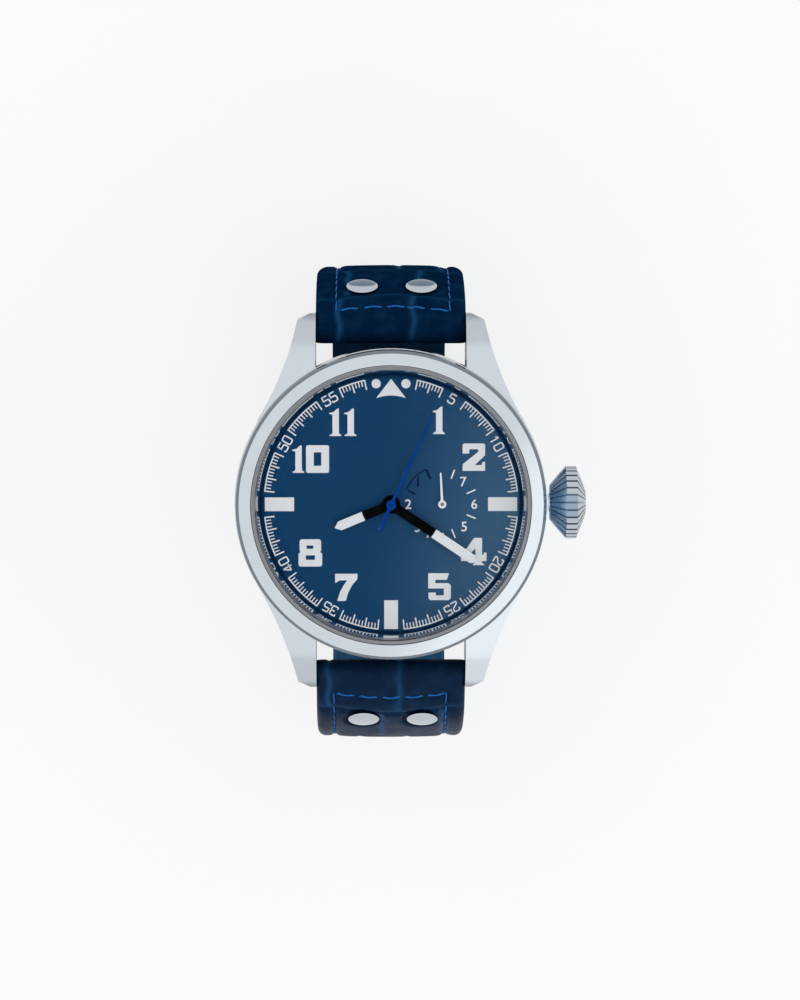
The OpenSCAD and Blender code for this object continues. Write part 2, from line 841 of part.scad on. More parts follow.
module train_bridge() {
    t = bridge_top - bridge_low;
    color("goldenrod")
        translate([0, 0, bridge_low])
            difference() {
                union() {
                    linear_extrude(t)
                        polygon([[-7.2, -0.6], [-6.6, 1.2], [-4.8, 4.6], [-2.8, 4.4], [4.2, 2.4],
                                 [5.3, 1], [1.2, -1.4], [-0.6, -5.4], [-2.4, -9.2], [-4.2, -8.6]]);
                    for (p = pillars)
                        translate(p)
                            cylinder(r = pillar_r + 0.3, h = t);
                    translate(inter_at)
                        cylinder(r = arbor_r, h = inter_post_top - bridge_low);
                }
                translate([0, 0, -1])
                    cylinder(r = hub_seconds_r + run_fit, h = 3);
                for (p = [third_at, rotor_at])
                    translate([p[0], p[1], -1])
                        cylinder(r = arbor_r + run_fit, h = 3);
                for (p = pillars)
                    translate([p[0], p[1], -1])
                        cylinder(r = screw_r + 0.01, h = 3);
            }
}

module bridge_screws() {
    color("silver")
        for (p = pillars)
            translate([p[0], p[1], bridge_low - 0.35])
                difference() {
                    union() {
                        cylinder(r = 0.75, h = 0.35);
                        cylinder(r = screw_r, h = 2.2);
                    }
                    cube([2, 0.18, 0.3], center = true);
                }
}

module circuit_board() {
    color("darkgreen")
        difference() {
            union() {
                translate([0, 0, board_z])
                    cylinder(r = move_r - 0.1, h = board_t);
                translate([2.4, 6.4, board_z + board_t])
                    cylinder(r = 1.2, h = 0.5);
            }
            translate([-20, -20, board_z - 1])
                cube([40, 12.5, 3]);
            translate([0, 0, board_z - 1])
                cylinder(r = 1.2, h = 3);
        }
}

module quartz_can() {
    color("silver")
        translate([-9.4, -6.4, board_z + board_t + 0.8])
            rotate([0, 90, 75])
                cylinder(r = 0.75, h = 5);
}

module coil_core() {
    pad = 2;
    low = coil_z - core_t / 2;
    x0 = core_ends[0];
    x1 = core_ends[1];
    color("gray")
        difference() {
            union() {
                for (x = core_ends)
                    translate([x - pad / 2, coil_y - pad / 2, low])
                        cube([pad, pad, core_t]);
                translate([x0, coil_y - 0.5, low])
                    cube([x1 - x0, 1, core_t]);
            }
            for (x = core_ends)
                translate([x, coil_y, low - 1])
                    cylinder(r = 0.35, h = 3);
        }
}

module coil_winding() {
    inset = 1.4;
    len = core_ends[1] - core_ends[0] - 2 * inset;
    color("chocolate")
        translate([core_ends[0] + inset, coil_y, coil_z])
            rotate([0, 90, 0])
                difference() {
                    cylinder(r = coil_r, h = len);
                    cube([core_t + 0.04, 1.04, 3 * len], center = true);
                }
}

module stator() {
    pad = 1.1;
    left = core_ends[0];
    right = core_ends[1];
    color("gray")
        translate([0, 0, stator_z])
            difference() {
                union() {
                    translate(rotor_at)
                        cylinder(r = 1.35, h = stator_t);
                    linear_extrude(stator_t)
                        polygon([[left - pad, coil_y - pad], [left - 0.6, coil_y + pad],
                                 [left + pad, coil_y + pad - 0.2], [left + pad, coil_y - pad],
                                 [rotor_at[0] + 0.2, rotor_at[1] + 1.2],
                                 [rotor_at[0] - 0.7, rotor_at[1] + 0.4]]);
                    linear_extrude(stator_t)
                        polygon([[rotor_at[0] + 0.3, rotor_at[1] + 1.2],
                                 [rotor_at[0] + 0.9, rotor_at[1] + 2.3],
                                 [right - pad, coil_y - pad], [right - pad, coil_y + pad],
                                 [right + 0.6, coil_y + pad], [right + pad, coil_y - pad],
                                 [right + pad, coil_y - pad - 1.4],
                                 [rotor_at[0] + 0.8, rotor_at[1] + 0.6]]);
                }
                translate([rotor_at[0], rotor_at[1], -1])
                    cylinder(r = 1, h = 3);
            }
}

module arbor(p, low, high) {
    translate([p[0], p[1], low])
        cylinder(r = arbor_r, h = high - low, $fn = 24);
}

module rotor() {
    color("dimgray")
        union() {
            arbor(rotor_at, bridge_low + 0.05, plate_low + 0.3);
            translate([rotor_at[0], rotor_at[1], stator_z - 0.05])
                cylinder(r = 0.8, h = stator_t + 0.05);
            translate([rotor_at[0], rotor_at[1], 5.5])
                toothed(6, rotor_m, 0.25, rotor_dir + 180);
        }
}

module intermediate_wheel() {
    color("gold")
        difference() {
            union() {
                translate([inter_at[0], inter_at[1], 4.85])
                    cylinder(r = 0.34, h = 1);
                translate([inter_at[0], inter_at[1], 4.95])
                    toothed(8, train_m, 0.25, rotor_dir + 180);
                translate([inter_at[0], inter_at[1], 5.55])
                    toothed(36, rotor_m, wheel_t, mate_turn(36, rotor_dir, 6, rotor_dir + 180));
            }
            translate([inter_at[0], inter_at[1], bridge_low])
                cylinder(r = arbor_r + run_fit, h = 3);
        }
}

module seconds_wheel() {
    color("gold")
        union() {
            translate([0, 0, bridge_low + 0.05])
                cylinder(r = hub_seconds_r, h = seconds_z + 0.2 - bridge_low - 0.05);
            translate([0, 0, 5])
                toothed(40, train_m, wheel_t, mate_turn(40, rotor_dir, 8, rotor_dir + 180));
            translate([0, 0, 5.25])
                toothed(8, train_m, 0.4, third_dir);
        }
}

module third_wheel() {
    color("gold")
        union() {
            arbor(third_at, bridge_low + 0.05, plate_low + 0.3);
            translate([third_at[0], third_at[1], 6.02])
                toothed(8, centre_m, 0.42, third_dir + 180);
            translate([third_at[0], third_at[1], 5.38])
                toothed(60, train_m, wheel_t, mate_turn(60, third_dir + 180, 8, third_dir));
        }
}

module centre_wheel() {
    color("gold")
        translate([0, 0, 6.15])
            difference() {
                toothed(64, centre_m, wheel_t, mate_turn(64, third_dir, 8, third_dir + 180));
                translate([0, 0, -1])
                    cylinder(r = hub_minute_r + 0.02, h = 3);
            }
}

module cannon_pinion() {
    color("silver")
        difference() {
            union() {
                translate([0, 0, 6.05])
                    cylinder(r = hub_minute_r, h = minute_z + 0.16 - 6.05);
                translate([0, 0, pocket_z + 0.08])
                    toothed(12, motion_m, 0.3, minute_dir);
            }
            cylinder(r = hub_seconds_r + run_fit, h = 20);
        }
}

module minute_wheel() {
    color("gold")
        translate([minute_at[0], minute_at[1], pocket_z + 0.12])
            difference() {
                union() {
                    toothed(36, motion_m, 0.2, mate_turn(36, minute_dir + 180, 12, minute_dir));
                    toothed(10, hour_m, 0.6, minute_dir + 180);
                }
                translate([0, 0, -1])
                    cylinder(r = post_r + run_fit, h = 3);
            }
}

module hour_wheel() {
    color("gold")
        difference() {
            union() {
                translate([0, 0, pocket_z + 0.46])
                    toothed(40, hour_m, 0.16, mate_turn(40, minute_dir, 10, minute_dir + 180));
                translate([0, 0, pocket_z + 0.6])
                    toothed(24, day_m, 0.36, mate_turn(24, idler_dir, 40, day_dir));
                translate([0, 0, pocket_z + 0.6])
                    cylinder(r = hub_hour_r, h = hour_z + 0.18 - pocket_z - 0.6);
            }
            cylinder(r = hub_minute_r + run_fit, h = 20);
        }
}

module day_idler() {
    color("gold")
        translate([idler_at[0], idler_at[1], pocket_z + 0.74])
            difference() {
                toothed(40, day_m, 0.16, day_dir);
                translate([0, 0, -1])
                    cylinder(r = post_r + run_fit, h = 3);
            }
}

module day_wheel() {
    color("gold")
        translate([subdial_x, 0, 0])
            union() {
                translate([0, 0, pocket_z + 0.74])
                    toothed(48, day_m, 0.16, mate_turn(48, day_dir + 180, 40, day_dir));
                translate([0, 0, plate_low + 0.45])
                    cylinder(r = 0.3, h = subhand_z + 0.12 - plate_low - 0.45);
            }
}

module battery() {
    rim = 0.3;
    color("gainsboro")
        translate([battery_at[0], battery_at[1], plate_low - 0.05 - battery_h])
            union() {
                translate([0, 0, rim])
                    cylinder(r = battery_r, h = battery_h - rim);
                cylinder(r = battery_r - 0.5, h = battery_h);
            }
}

module battery_clip() {
    low = plate_low - 0.05 - battery_h - 0.2;
    left = battery_at[0] - battery_r - 0.4;
    color("gold")
        union() {
            translate([left, battery_at[1] - 0.6, low])
                cube([2 * battery_r, 1.2, 0.18]);
            translate([left, battery_at[1] - 0.6, low])
                cube([0.2, 1.2, plate_low - low]);
        }
}

module setting_lever() {
    lever_z = plate_low + 0.45;
    color("silver")
        difference() {
            union() {
                translate([lever_at[0], lever_at[1], lever_z])
                    cylinder(r = 0.7, h = 0.3);
                translate([0, 0, lever_z])
                    linear_extrude(0.3)
                        polygon([[lever_at[0] - 0.5, lever_at[1]],
                                 [lever_pin[0] - 0.2, lever_pin[1]],
                                 [lever_pin[0] + 0.2, lever_pin[1]],
                                 [lever_at[0] + 0.5, lever_at[1]]]);
                translate([lever_pin[0], lever_pin[1], lever_z])
                    cylinder(r = 0.2, h = 0.55);
            }
            translate([lever_at[0], lever_at[1], 0])
                cylinder(r = lever_post_r + run_fit, h = 20);
        }
}

module spring_bar_tubes() {
    color("silver")
        both_bars()
            rotate([0, 90, 0])
                difference() {
                    cylinder(r = spring_tube_r, h = 2 * bar_half, center = true);
                    cylinder(r = tip_plunger_r + run_fit, h = 2 * bar_half - 1, center = true);
                    cylinder(r = tip_r + run_fit, h = 2 * bar_half + 1, center = true);
                }
}

module spring_bar_springs() {
    half = bar_half - 0.5 - 1.7 - tip_travel - seat_gap;
    color("gray")
        both_bars()
            rotate([0, 90, 0])
                translate([0, 0, -half])
                    ring(tip_plunger_r - 0.02, 0.35, 2 * half);
}

module spring_bar_tip() {
    reach = lug_gap / 2 + tip_in_lug;
    translate([bar_half - 0.5 - 1.7, 0, 0])
        rotate([0, 90, 0])
            union() {
                cylinder(r = tip_plunger_r, h = 1.7);
                cylinder(r = tip_r, h = reach - bar_half + 0.5 + 1.7);
            }
}

module tip_at(side_y, side_x) {
    color("silver")
        mirror([0, side_y, 0])
            mirror([side_x, 0, 0])
                translate([0, bar_y, bar_z])
                    spring_bar_tip();
}

module spring_bar_tip_12_right() {
    tip_at(0, 0);
}

module spring_bar_tip_12_left() {
    tip_at(0, 1);
}

module spring_bar_tip_6_right() {
    tip_at(1, 0);
}

module spring_bar_tip_6_left() {
    tip_at(1, 1);
}

// Plan of the strap's taper, seen along the strap's thickness at the lugs
module taper_body() {
    taper_top = 2;
    taper_low = -28;
    rotate([90, 0, 0])
        linear_extrude(200, center = true)
            polygon([[-strap_w / 2, 20], [-strap_w / 2, taper_top], [-strap_w_end / 2, taper_low],
                     [-strap_w_end / 2, -60], [strap_w_end / 2, -60], [strap_w_end / 2, taper_low],
                     [strap_w / 2, taper_top], [strap_w / 2, 20]]);
}

// Outline of a strap half: its two faces, the round over the spring bar, and its far end
module strap_profile(path, thick, far_end) {
    r = strap_t_bar / 2;
    outer = [for (p = path) inward(p, 0)];
    inner = [for (i = [len(path) - 1:-1:0]) inward(path[i], thick[i])];
    polygon(concat(outer, far_end, inner,
                   [for (a = [-100:-10:-260]) [bar_y + r * cos(a), bar_z + r * sin(a)]]));
}

module bar_hole() {
    translate([0, bar_y, bar_z])
        rotate([0, 90, 0])
            cylinder(r = spring_tube_r + 0.1, h = 60, center = true);
}

module lining_profile(path, thick, last) {
    part = between(path, lining_start, last);
    own = [for (i = [0:len(path) - 1]) if (path[i][3] >= lining_start && path[i][3] <= last) thick[i]];
    polygon(layer(part, [for (t = own) t - lining_t], own));
}

module padding_profile(path, thick, last) {
    part = between(path, pad_start, last);
    own = [for (i = [0:len(path) - 1]) if (path[i][3] >= pad_start && path[i][3] <= last) thick[i]];
    polygon(layer(part, [for (t = own) leather_t], [for (t = own) t - lining_t]));
}

module groove(route) {
    part = [for (s = [stitch_s0:1:stitch_end + 2]) place(strap_start, route, s)];
    for (x = [-stitch_x, stitch_x])
        translate([x, 0, 0])
            side_extrude(groove_w)
                polygon(layer(part, [for (p = part) -1], [for (p = part) groove_d]));
}

module rivet_places(start, route) {
    for (x = [-rivet_x, rivet_x])
        at_place(place(start, route, rivet_s))
            translate([x, 0, 0])
                children();
}

rivet_sink = 0.25;
rivet_post_r = 0.7;
rivet_back_r = 1.6;
rivet_back_t = 0.35;

module rivet_cut(thick) {
    translate([0, 0, -rivet_sink])
        cylinder(r = rivet_r + 0.02, h = 4);
    translate([0, 0, -thick - 1])
        cylinder(r = rivet_post_r + 0.01, h = thick + 2);
    translate([0, 0, -thick - 1])
        cylinder(r = rivet_back_r + 0.02, h = 1 + rivet_back_t + 0.2);
}

module rivet(thick) {
    ball = (rivet_r * rivet_r + rivet_h * rivet_h) / (2 * rivet_h);
    union() {
        intersection() {
            translate([0, 0, -rivet_sink])
                cylinder(r = rivet_r, h = 3);
            translate([0, 0, rivet_h - rivet_sink + 0.2 - ball])
                sphere(r = ball, $fn = 96);
        }
        translate([0, 0, -thick])
            cylinder(r = rivet_post_r, h = thick);
        translate([0, 0, -thick])
            cylinder(r = rivet_back_r, h = rivet_back_t);
    }
}

thick_list_12 = [for (p = path_12) thick_12(p[3])];
thick_list_6 = [for (p = path_6) thick_6(p[3])];
rivet_depth = strap_t_pad + 0.05;

module lining_12_body() {
    intersection() {
        side_extrude(40)
            lining_profile(path_12, thick_list_12, len_12 - 4);
        taper_body();
    }
}

module padding_12_body() {
    side_extrude(pad_w)
        padding_profile(path_12, thick_list_12, pad_end_12 - 4);
}

module buckle_end_cuts() {
    slot_back = 6;
    slot_front = 2.2;
    translate([0, buckle_y, -buckle_drop])
        rotate([0, 90, 0])
            cylinder(r = buckle_bar_r + 0.1, h = 60, center = true);
    translate([-tang_slot_w / 2, buckle_y - slot_back, -60])
        cube([tang_slot_w, slot_back + slot_front, 40]);
}

module strap_leather_12() {
    color("midnightblue")
        difference() {
            intersection() {
                side_extrude(40)
                    strap_profile(path_12, thick_list_12,
                                  [for (a = [-100:-10:-260]) [buckle_y + loop_r * cos(a),
                                                              loop_r * sin(a) - buckle_drop]]);
                taper_body();
            }
            bar_hole();
            lining_12_body();
            padding_12_body();
            groove(route_12);
            rivet_places(strap_start, route_12)
                rivet_cut(rivet_depth);
            buckle_end_cuts();
        }
}

module strap_lining_12() {
    color("steelblue")
        difference() {
            lining_12_body();
            rivet_places(strap_start, route_12)
                rivet_cut(rivet_depth);
        }
}

module strap_padding_12() {
    color("slategray")
        difference() {
            padding_12_body();
            rivet_places(strap_start, route_12)
                rivet_cut(rivet_depth);
        }
}

module lining_6_body() {
    intersection() {
        side_extrude(40)
            lining_profile(path_6, thick_list_6, len_6 - 1);
        taper_body();
    }
}

module padding_6_body() {
    side_extrude(pad_w)
        padding_profile(path_6, thick_list_6, pad_end_6 - 4);
}

// Distance along the long half of the hole that the pin is in
hole_s = step_len(route_6[0]) + step_len(route_6[1]) + step_len(route_6[2]) + foot_len
         + 2 * step_len(route_6[4]) + rail_flat + 3.2;

module strap_hole_cuts() {
    slot = 4.6;
    for (k = [-3:3])
        if (k != 0)
            at_place(place(strap_start, route_6, hole_s + k * hole_pitch))
                translate([0, 0, -5])
                    cylinder(r = hole_r, h = 10);
    at_place(place(strap_start, route_6, hole_s))
        translate([-tang_slot_w / 2, -slot / 2, -5])
            cube([tang_slot_w, slot, 10]);
}

module tip_cuts() {
    chamfer = 9;
    at_place(place(strap_start, route_6, len_6 - 0.01))
        for (m = [0, 1])
            mirror([m, 0, 0])
                translate([strap_w_end / 2, -chamfer * 0.45, -6])
                    rotate([0, 0, 32])
                        cube([chamfer, chamfer * 2, 12]);
}

module strap_leather_6() {
    color("midnightblue")
        mirror([0, 1, 0])
            difference() {
                intersection() {
                    side_extrude(40)
                        strap_profile(path_6, thick_list_6, []);
                    taper_body();
                }
                bar_hole();
                lining_6_body();
                padding_6_body();
                groove(route_6);
                rivet_places(strap_start, route_6)
                    rivet_cut(rivet_depth);
                strap_hole_cuts();
                tip_cuts();
            }
}

module strap_lining_6() {
    color("steelblue")
        mirror([0, 1, 0])
            difference() {
                lining_6_body();
                rivet_places(strap_start, route_6)
                    rivet_cut(rivet_depth);
                strap_hole_cuts();
                tip_cuts();
            }
}

module strap_padding_6() {
    color("slategray")
        mirror([0, 1, 0])
            difference() {
                padding_6_body();
                rivet_places(strap_start, route_6)
                    rivet_cut(rivet_depth);
            }
}

module stitch_row(route) {
    for (s = [stitch_s0 + stitch_pitch / 2:stitch_pitch:stitch_end], x = [-stitch_x, stitch_x])
        at_place(place(strap_start, route, s))
            translate([x, 0, stitch_low + stitch_r - groove_d])
                cube([2 * stitch_r, stitch_len, 2 * stitch_r], center = true);
}

module stitching() {
    color("royalblue") {
        stitch_row(route_12);
        mirror([0, 1, 0])
            stitch_row(route_6);
    }
}

module rivets() {
    color("silver") {
        rivet_places(strap_start, route_12)
            rivet(rivet_depth - 0.2);
        mirror([0, 1, 0])
            rivet_places(strap_start, route_6)
                rivet(rivet_depth - 0.2);
    }
}

arm_in = strap_w_end / 2 + 0.35;
arm_out = arm_in + arm_t;
rail_notch = 0.9;

module buckle_arm_side() {
    polygon([[buckle_y + 1.5, -buckle_drop - 0.9], [buckle_y + 1.5, -buckle_drop + 0.9],
             [buckle_y - 1.5, -buckle_drop + 1.1], [rail_y - 0.6, rail_low + rail_t + 1.8],
             [rail_y - rail_w / 2, rail_low + rail_t], [rail_y - rail_w / 2, rail_low],
             [rail_y + rail_w / 2, rail_low], [buckle_y - 1.5, -buckle_drop - 1.6]]);
}

module buckle_frame() {
    color("silver")
        difference() {
            union() {
                for (m = [0, 1])
                    mirror([m, 0, 0])
                        translate([(arm_in + arm_out) / 2, 0, 0])
                            side_extrude(arm_t)
                                buckle_arm_side();
                translate([-arm_in - 0.1, rail_y - rail_w / 2, rail_low])
                    cube([2 * arm_in + 0.2, rail_w, rail_t]);
            }
            translate([0, buckle_y, -buckle_drop])
                rotate([0, 90, 0])
                    cylinder(r = buckle_bar_r + run_fit / 2, h = 60, center = true);
            translate([-tang_w / 2 - 0.2, rail_y - 3, rail_low - 1])
                cube([tang_w + 0.4, 6, 1 + rail_notch]);
        }
}

module buckle_bar() {
    color("silver")
        translate([0, buckle_y, -buckle_drop])
            rotate([0, 90, 0])
                cylinder(r = buckle_bar_r, h = 2 * arm_out, center = true);
}

module buckle_tang() {
    over = rail_low + rail_notch - 0.05;
    ring_r = 1.45;
    color("silver")
        difference() {
            side_extrude(tang_w)
                union() {
                    translate([buckle_y, -buckle_drop])
                        circle(r = ring_r, $fn = 48);
                    polygon([[buckle_y - 1.8, -buckle_drop - ring_r],
                             [buckle_y, -buckle_drop - ring_r],
                             [buckle_y - 1.3, -buckle_drop + 0.4],
                             [buckle_y - 3.4, -buckle_drop - 0.6],
                             [buckle_y - 5.6, over],
                             [rail_y - rail_w / 2 - 0.1, over],
                             [rail_y - rail_w / 2 - 0.1, over - 0.8],
                             [buckle_y - 6, over - 0.9],
                             [buckle_y - 3.6, -buckle_drop - 2.3]]);
                }
            translate([0, buckle_y, -buckle_drop])
                rotate([0, 90, 0])
                    cylinder(r = buckle_bar_r + run_fit, h = 60, center = true);
        }
}

// A band round the two strap layers; the profile spans their thickness from in to out
module keeper_band(low, high) {
    difference() {
        translate([-keeper_half - keeper_t, -keeper_w / 2, low - keeper_t])
            cube([2 * (keeper_half + keeper_t), keeper_w, high - low + 2 * keeper_t]);
        translate([-keeper_half, -keeper_w, low])
            cube([2 * keeper_half, 2 * keeper_w, high - low]);
    }
}

module fixed_keeper() {
    color("midnightblue")
        translate([0, buckle_y + 6.6, 0])
            keeper_band(long_low - 0.1, short_low + strap_t_short + 0.1);
}

keeper_a = 3.5;

module free_keeper() {
    centre_y = corner_end_12[0];
    centre_z = short_low + corner_r12;
    in_r = corner_r12 - strap_t_short - loose_gap;
    out_r = corner_r12 + corner_layer + loose_gap;
    span = keeper_w / corner_r12 * 180 / PI;
    far = 2 * corner_r12;
    color("midnightblue")
        translate([0, centre_y, centre_z])
            rotate([keeper_a - 90, 0, 0])
                intersection() {
                    rotate([0, 90, 0])
                        difference() {
                            cylinder(r = out_r + keeper_t, h = 2 * (keeper_half + keeper_t),
                                     center = true, $fn = 128);
                            cylinder(r = in_r - keeper_t, h = 2 * far, center = true, $fn = 128);
                            difference() {
                                cylinder(r = out_r, h = 2 * keeper_half, center = true, $fn = 128);
                                cylinder(r = in_r, h = 2 * far, center = true, $fn = 128);
                            }
                        }
                    side_extrude(2 * far)
                        polygon([[0, 0], [far, -far * tan(span / 2)], [far, far * tan(span / 2)]]);
                }
}

case_middle();
bezel();
crystal();
crystal_gasket();
rehaut();
case_back();
case_back_gasket();
crown_tube();
crown();
crown_gasket();
stem();
movement_ring();
dial();
hour_markers();
hour_numerals();
hour_hand();
minute_hand();
seconds_hand();
subdial_hand();
main_plate();
train_bridge();
circuit_board();
quartz_can();
coil_core();
coil_winding();
stator();
rotor();
intermediate_wheel();
seconds_wheel();
third_wheel();
centre_wheel();
cannon_pinion();
minute_wheel();
hour_wheel();
day_idler();
day_wheel();
battery();
battery_clip();
setting_lever();
bridge_screws();
strap_leather_12();
strap_lining_12();
strap_padding_12();
strap_leather_6();
strap_lining_6();
strap_padding_6();
stitching();
rivets();
spring_bar_tubes();
spring_bar_springs();
spring_bar_tip_12_left();
spring_bar_tip_12_right();
spring_bar_tip_6_left();
spring_bar_tip_6_right();
buckle_frame();
buckle_bar();
buckle_tang();
fixed_keeper();
free_keeper();
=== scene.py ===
"""Pilot's wristwatch: print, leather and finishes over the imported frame.

Lengths in this script are millimetres, in the frame of part.scad, until a mesh is made.
"""

import math
import random

import bmesh
import bpy
from mathutils import Euler, Matrix, Vector, geometry


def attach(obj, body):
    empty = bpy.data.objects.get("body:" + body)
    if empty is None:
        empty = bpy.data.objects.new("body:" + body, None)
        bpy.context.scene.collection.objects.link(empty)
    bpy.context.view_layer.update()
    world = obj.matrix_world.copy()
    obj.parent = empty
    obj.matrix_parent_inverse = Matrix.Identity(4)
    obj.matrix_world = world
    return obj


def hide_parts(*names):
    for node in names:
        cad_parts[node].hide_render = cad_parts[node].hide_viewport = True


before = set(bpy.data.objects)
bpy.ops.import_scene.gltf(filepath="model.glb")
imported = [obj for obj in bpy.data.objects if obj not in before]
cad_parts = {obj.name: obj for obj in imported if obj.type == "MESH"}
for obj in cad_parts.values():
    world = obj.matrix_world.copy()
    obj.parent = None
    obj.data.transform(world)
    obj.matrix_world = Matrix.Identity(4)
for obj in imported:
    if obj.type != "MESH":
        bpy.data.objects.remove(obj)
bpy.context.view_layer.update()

MM = 0.001
WHITE = (1.0, 1.0, 1.0)

# Heights of the dial's face, of the print on it and of the raised numerals
PRINT_LOW = 9.6
PRINT_HIGH = 9.615
PRINT_MIDDLE = (PRINT_LOW + PRINT_HIGH) / 2
PRINT_THICK = PRINT_HIGH - PRINT_LOW
# How much higher print stands where it crosses other print
PRINT_OVER = 0.001
RAISED_HIGH = 9.7


# Nodes


class Graph:
    """A node tree, with short ways to add what the finishes are made of."""

    def __init__(self, tree):
        self.tree = tree

    def feed(self, socket, value):
        """Links a socket to another one, or sets its value; a colour may come without alpha."""
        if isinstance(value, bpy.types.NodeSocket):
            self.tree.links.new(value, socket)
        elif socket.type == "RGBA":
            socket.default_value = (*value[:3], 1.0)
        else:
            socket.default_value = value

    def node(self, kind, inputs=None, **settings):
        """A node of that kind, with its settings, and its sockets set or linked."""
        made = self.tree.nodes.new(kind)
        for name, value in settings.items():
            setattr(made, name, value)
        for name, value in (inputs or {}).items():
            self.feed(made.inputs[name], value)
        return made

    def maths(self, operation, *values):
        """One step of arithmetic on numbers."""
        inputs = dict(enumerate(values))
        return self.node("ShaderNodeMath", inputs, operation=operation).outputs[0]

    def vector(self, operation, *values):
        """One step of arithmetic on vectors; a length and a dot product give a number."""
        made = self.node("ShaderNodeVectorMath", dict(enumerate(values)), operation=operation)
        return made.outputs["Value" if operation in ("LENGTH", "DOT_PRODUCT") else "Vector"]

    def axes(self, vector):
        """The X, Y and Z of a vector."""
        return self.node("ShaderNodeSeparateXYZ", {"Vector": vector}).outputs

    def off_axis(self, a, b):
        """How far a point lies from an axis, from its two coordinates across that axis."""
        return self.vector("LENGTH", self.node("ShaderNodeCombineXYZ", {"X": a, "Y": b}).outputs[0])

    def ramp(self, value, low, high, to=(0.0, 1.0), smooth=False):
        """A value stretched from between low and high to between the two ends of to."""
        inputs = {
            "Value": value, "From Min": low, "From Max": high, "To Min": to[0], "To Max": to[1],
        }
        kind = "SMOOTHSTEP" if smooth else "LINEAR"
        return self.node("ShaderNodeMapRange", inputs, interpolation_type=kind).outputs["Result"]

    def noise(self, vector, scale, detail=2.0):
        """Soft noise, as a value."""
        inputs = {"Vector": vector, "Scale": scale, "Detail": detail}
        return self.node("ShaderNodeTexNoise", inputs).outputs["Fac"]

    def blend(self, mask, low, high, kind="MIX"):
        """A colour that goes from low to high with the mask, or is multiplied by high there."""
        inputs = {"Factor": mask, 6: low, 7: high}
        return self.node("ShaderNodeMix", inputs, data_type="RGBA", blend_type=kind).outputs[2]

    def layered(self, share, below, above):
        """A surface that goes from one shader to the other with share."""
        return self.node("ShaderNodeMixShader", {0: share, 1: below, 2: above}).outputs[0]

    def direct_rays(self):
        """1 for the rays that show a thing straight, in a mirror or through glass."""
        path = self.node("ShaderNodeLightPath").outputs
        first = self.maths("MAXIMUM", path["Is Camera Ray"], path["Is Glossy Ray"])
        return self.maths("MAXIMUM", first, path["Is Transmission Ray"])


class Finish(Graph):
    """A material with its Principled shader and its object coordinates."""

    def __init__(self, name, **shader_values):
        self.made = bpy.data.materials.new(name)
        self.made.use_nodes = True
        super().__init__(self.made.node_tree)
        self.shader = self.tree.nodes["Principled BSDF"]
        for label, value in shader_values.items():
            self.feed(self.shader.inputs[label.replace("_", " ")], value)
        self.place = self.node("ShaderNodeTexCoord").outputs["Object"]
        self.at = self.axes(self.place)

    def effect(self, group, **values):
        """The outputs of one of the shared effects, with this finish's own values."""
        inputs = {label.replace("_", " "): value for label, value in values.items()}
        inputs["Position"] = self.place
        return self.node("ShaderNodeGroup", inputs, node_tree=group).outputs

    def marks(self, scale, low, high):
        """Handling marks in the roughness, between low and high; gives back their mask."""
        made = self.effect(MARKS, Scale=scale, Low=low, High=high)
        self.feed(self.shader.inputs["Roughness"], made["Roughness"])
        return made["Mask"]

    def lines(self, per_metre):
        """Turned lines, or straight ones where each axis has its own number, as a height."""
        group = BRUSHED if isinstance(per_metre, tuple) else TURNED
        return self.effect(group, Lines_per_metre=per_metre)["Height"]

    def facing(self):
        """Which way the surface faces, as X, Y and Z."""
        return self.axes(self.node("ShaderNodeTexCoord").outputs["Normal"])

    def paint(self, colour):
        self.feed(self.shader.inputs["Base Color"], colour)

    def relief(self, height, strength, depth):
        """Fine relief, depth mm deep."""
        inputs = {"Height": height, "Strength": strength, "Distance": depth * MM}
        self.feed(self.shader.inputs["Normal"], self.node("ShaderNodeBump", inputs).outputs["Normal"])

    def surface(self, shader):
        self.feed(self.tree.nodes["Material Output"].inputs["Surface"], shader)


# Effects that several finishes share


def shared_effect(name, inputs, outputs):
    """An empty shader group: its graph, what it is given and what it puts out."""
    tree = bpy.data.node_groups.new(name, "ShaderNodeTree")
    for label, default in {"Position": None, **inputs}.items():
        kind = "NodeSocketFloat" if isinstance(default, float) else "NodeSocketVector"
        socket = tree.interface.new_socket(label, in_out="INPUT", socket_type=kind)
        if default is not None:
            socket.default_value = default
    for label in outputs:
        tree.interface.new_socket(label, in_out="OUTPUT", socket_type="NodeSocketFloat")
    given = tree.nodes.new("NodeGroupInput")
    return Graph(tree), given.outputs, tree.nodes.new("NodeGroupOutput").inputs


def handling_marks():
    """Faint clouding from wear, as a roughness and a mask."""
    graph, given, out = shared_effect(
        "Handling marks", {"Scale": 300.0, "Low": 0.1, "High": 0.2}, ("Roughness", "Mask")
    )
    clouds = graph.noise(given["Position"], given["Scale"], 4.0)
    graph.feed(out["Roughness"], graph.ramp(clouds, 0.35, 0.65, (given["Low"], given["High"])))
    graph.feed(out["Mask"], clouds)
    return graph.tree


def turned_finish():
    """Fine concentric lines left by a lathe or a circular brush, as a height."""
    graph, given, out = shared_effect("Turned finish", {"Lines per metre": 9000.0}, ("Height",))
    at = graph.axes(given["Position"])
    inputs = {"W": graph.off_axis(at["X"], at["Y"]), "Scale": given["Lines per metre"]}
    lines = graph.node("ShaderNodeTexNoise", inputs, noise_dimensions="1D")
    graph.feed(out["Height"], lines.outputs["Fac"])
    return graph.tree


def straight_brushing():
    """Straight hairlines along one axis, as a height."""
    graph, given, out = shared_effect(
        "Straight brushing", {"Lines per metre": (9000.0, 300.0, 9000.0)}, ("Height",)
    )
    stretched = graph.vector("MULTIPLY", given["Position"], given["Lines per metre"])
    graph.feed(out["Height"], graph.noise(stretched, 1.0, 3.0))
    return graph.tree


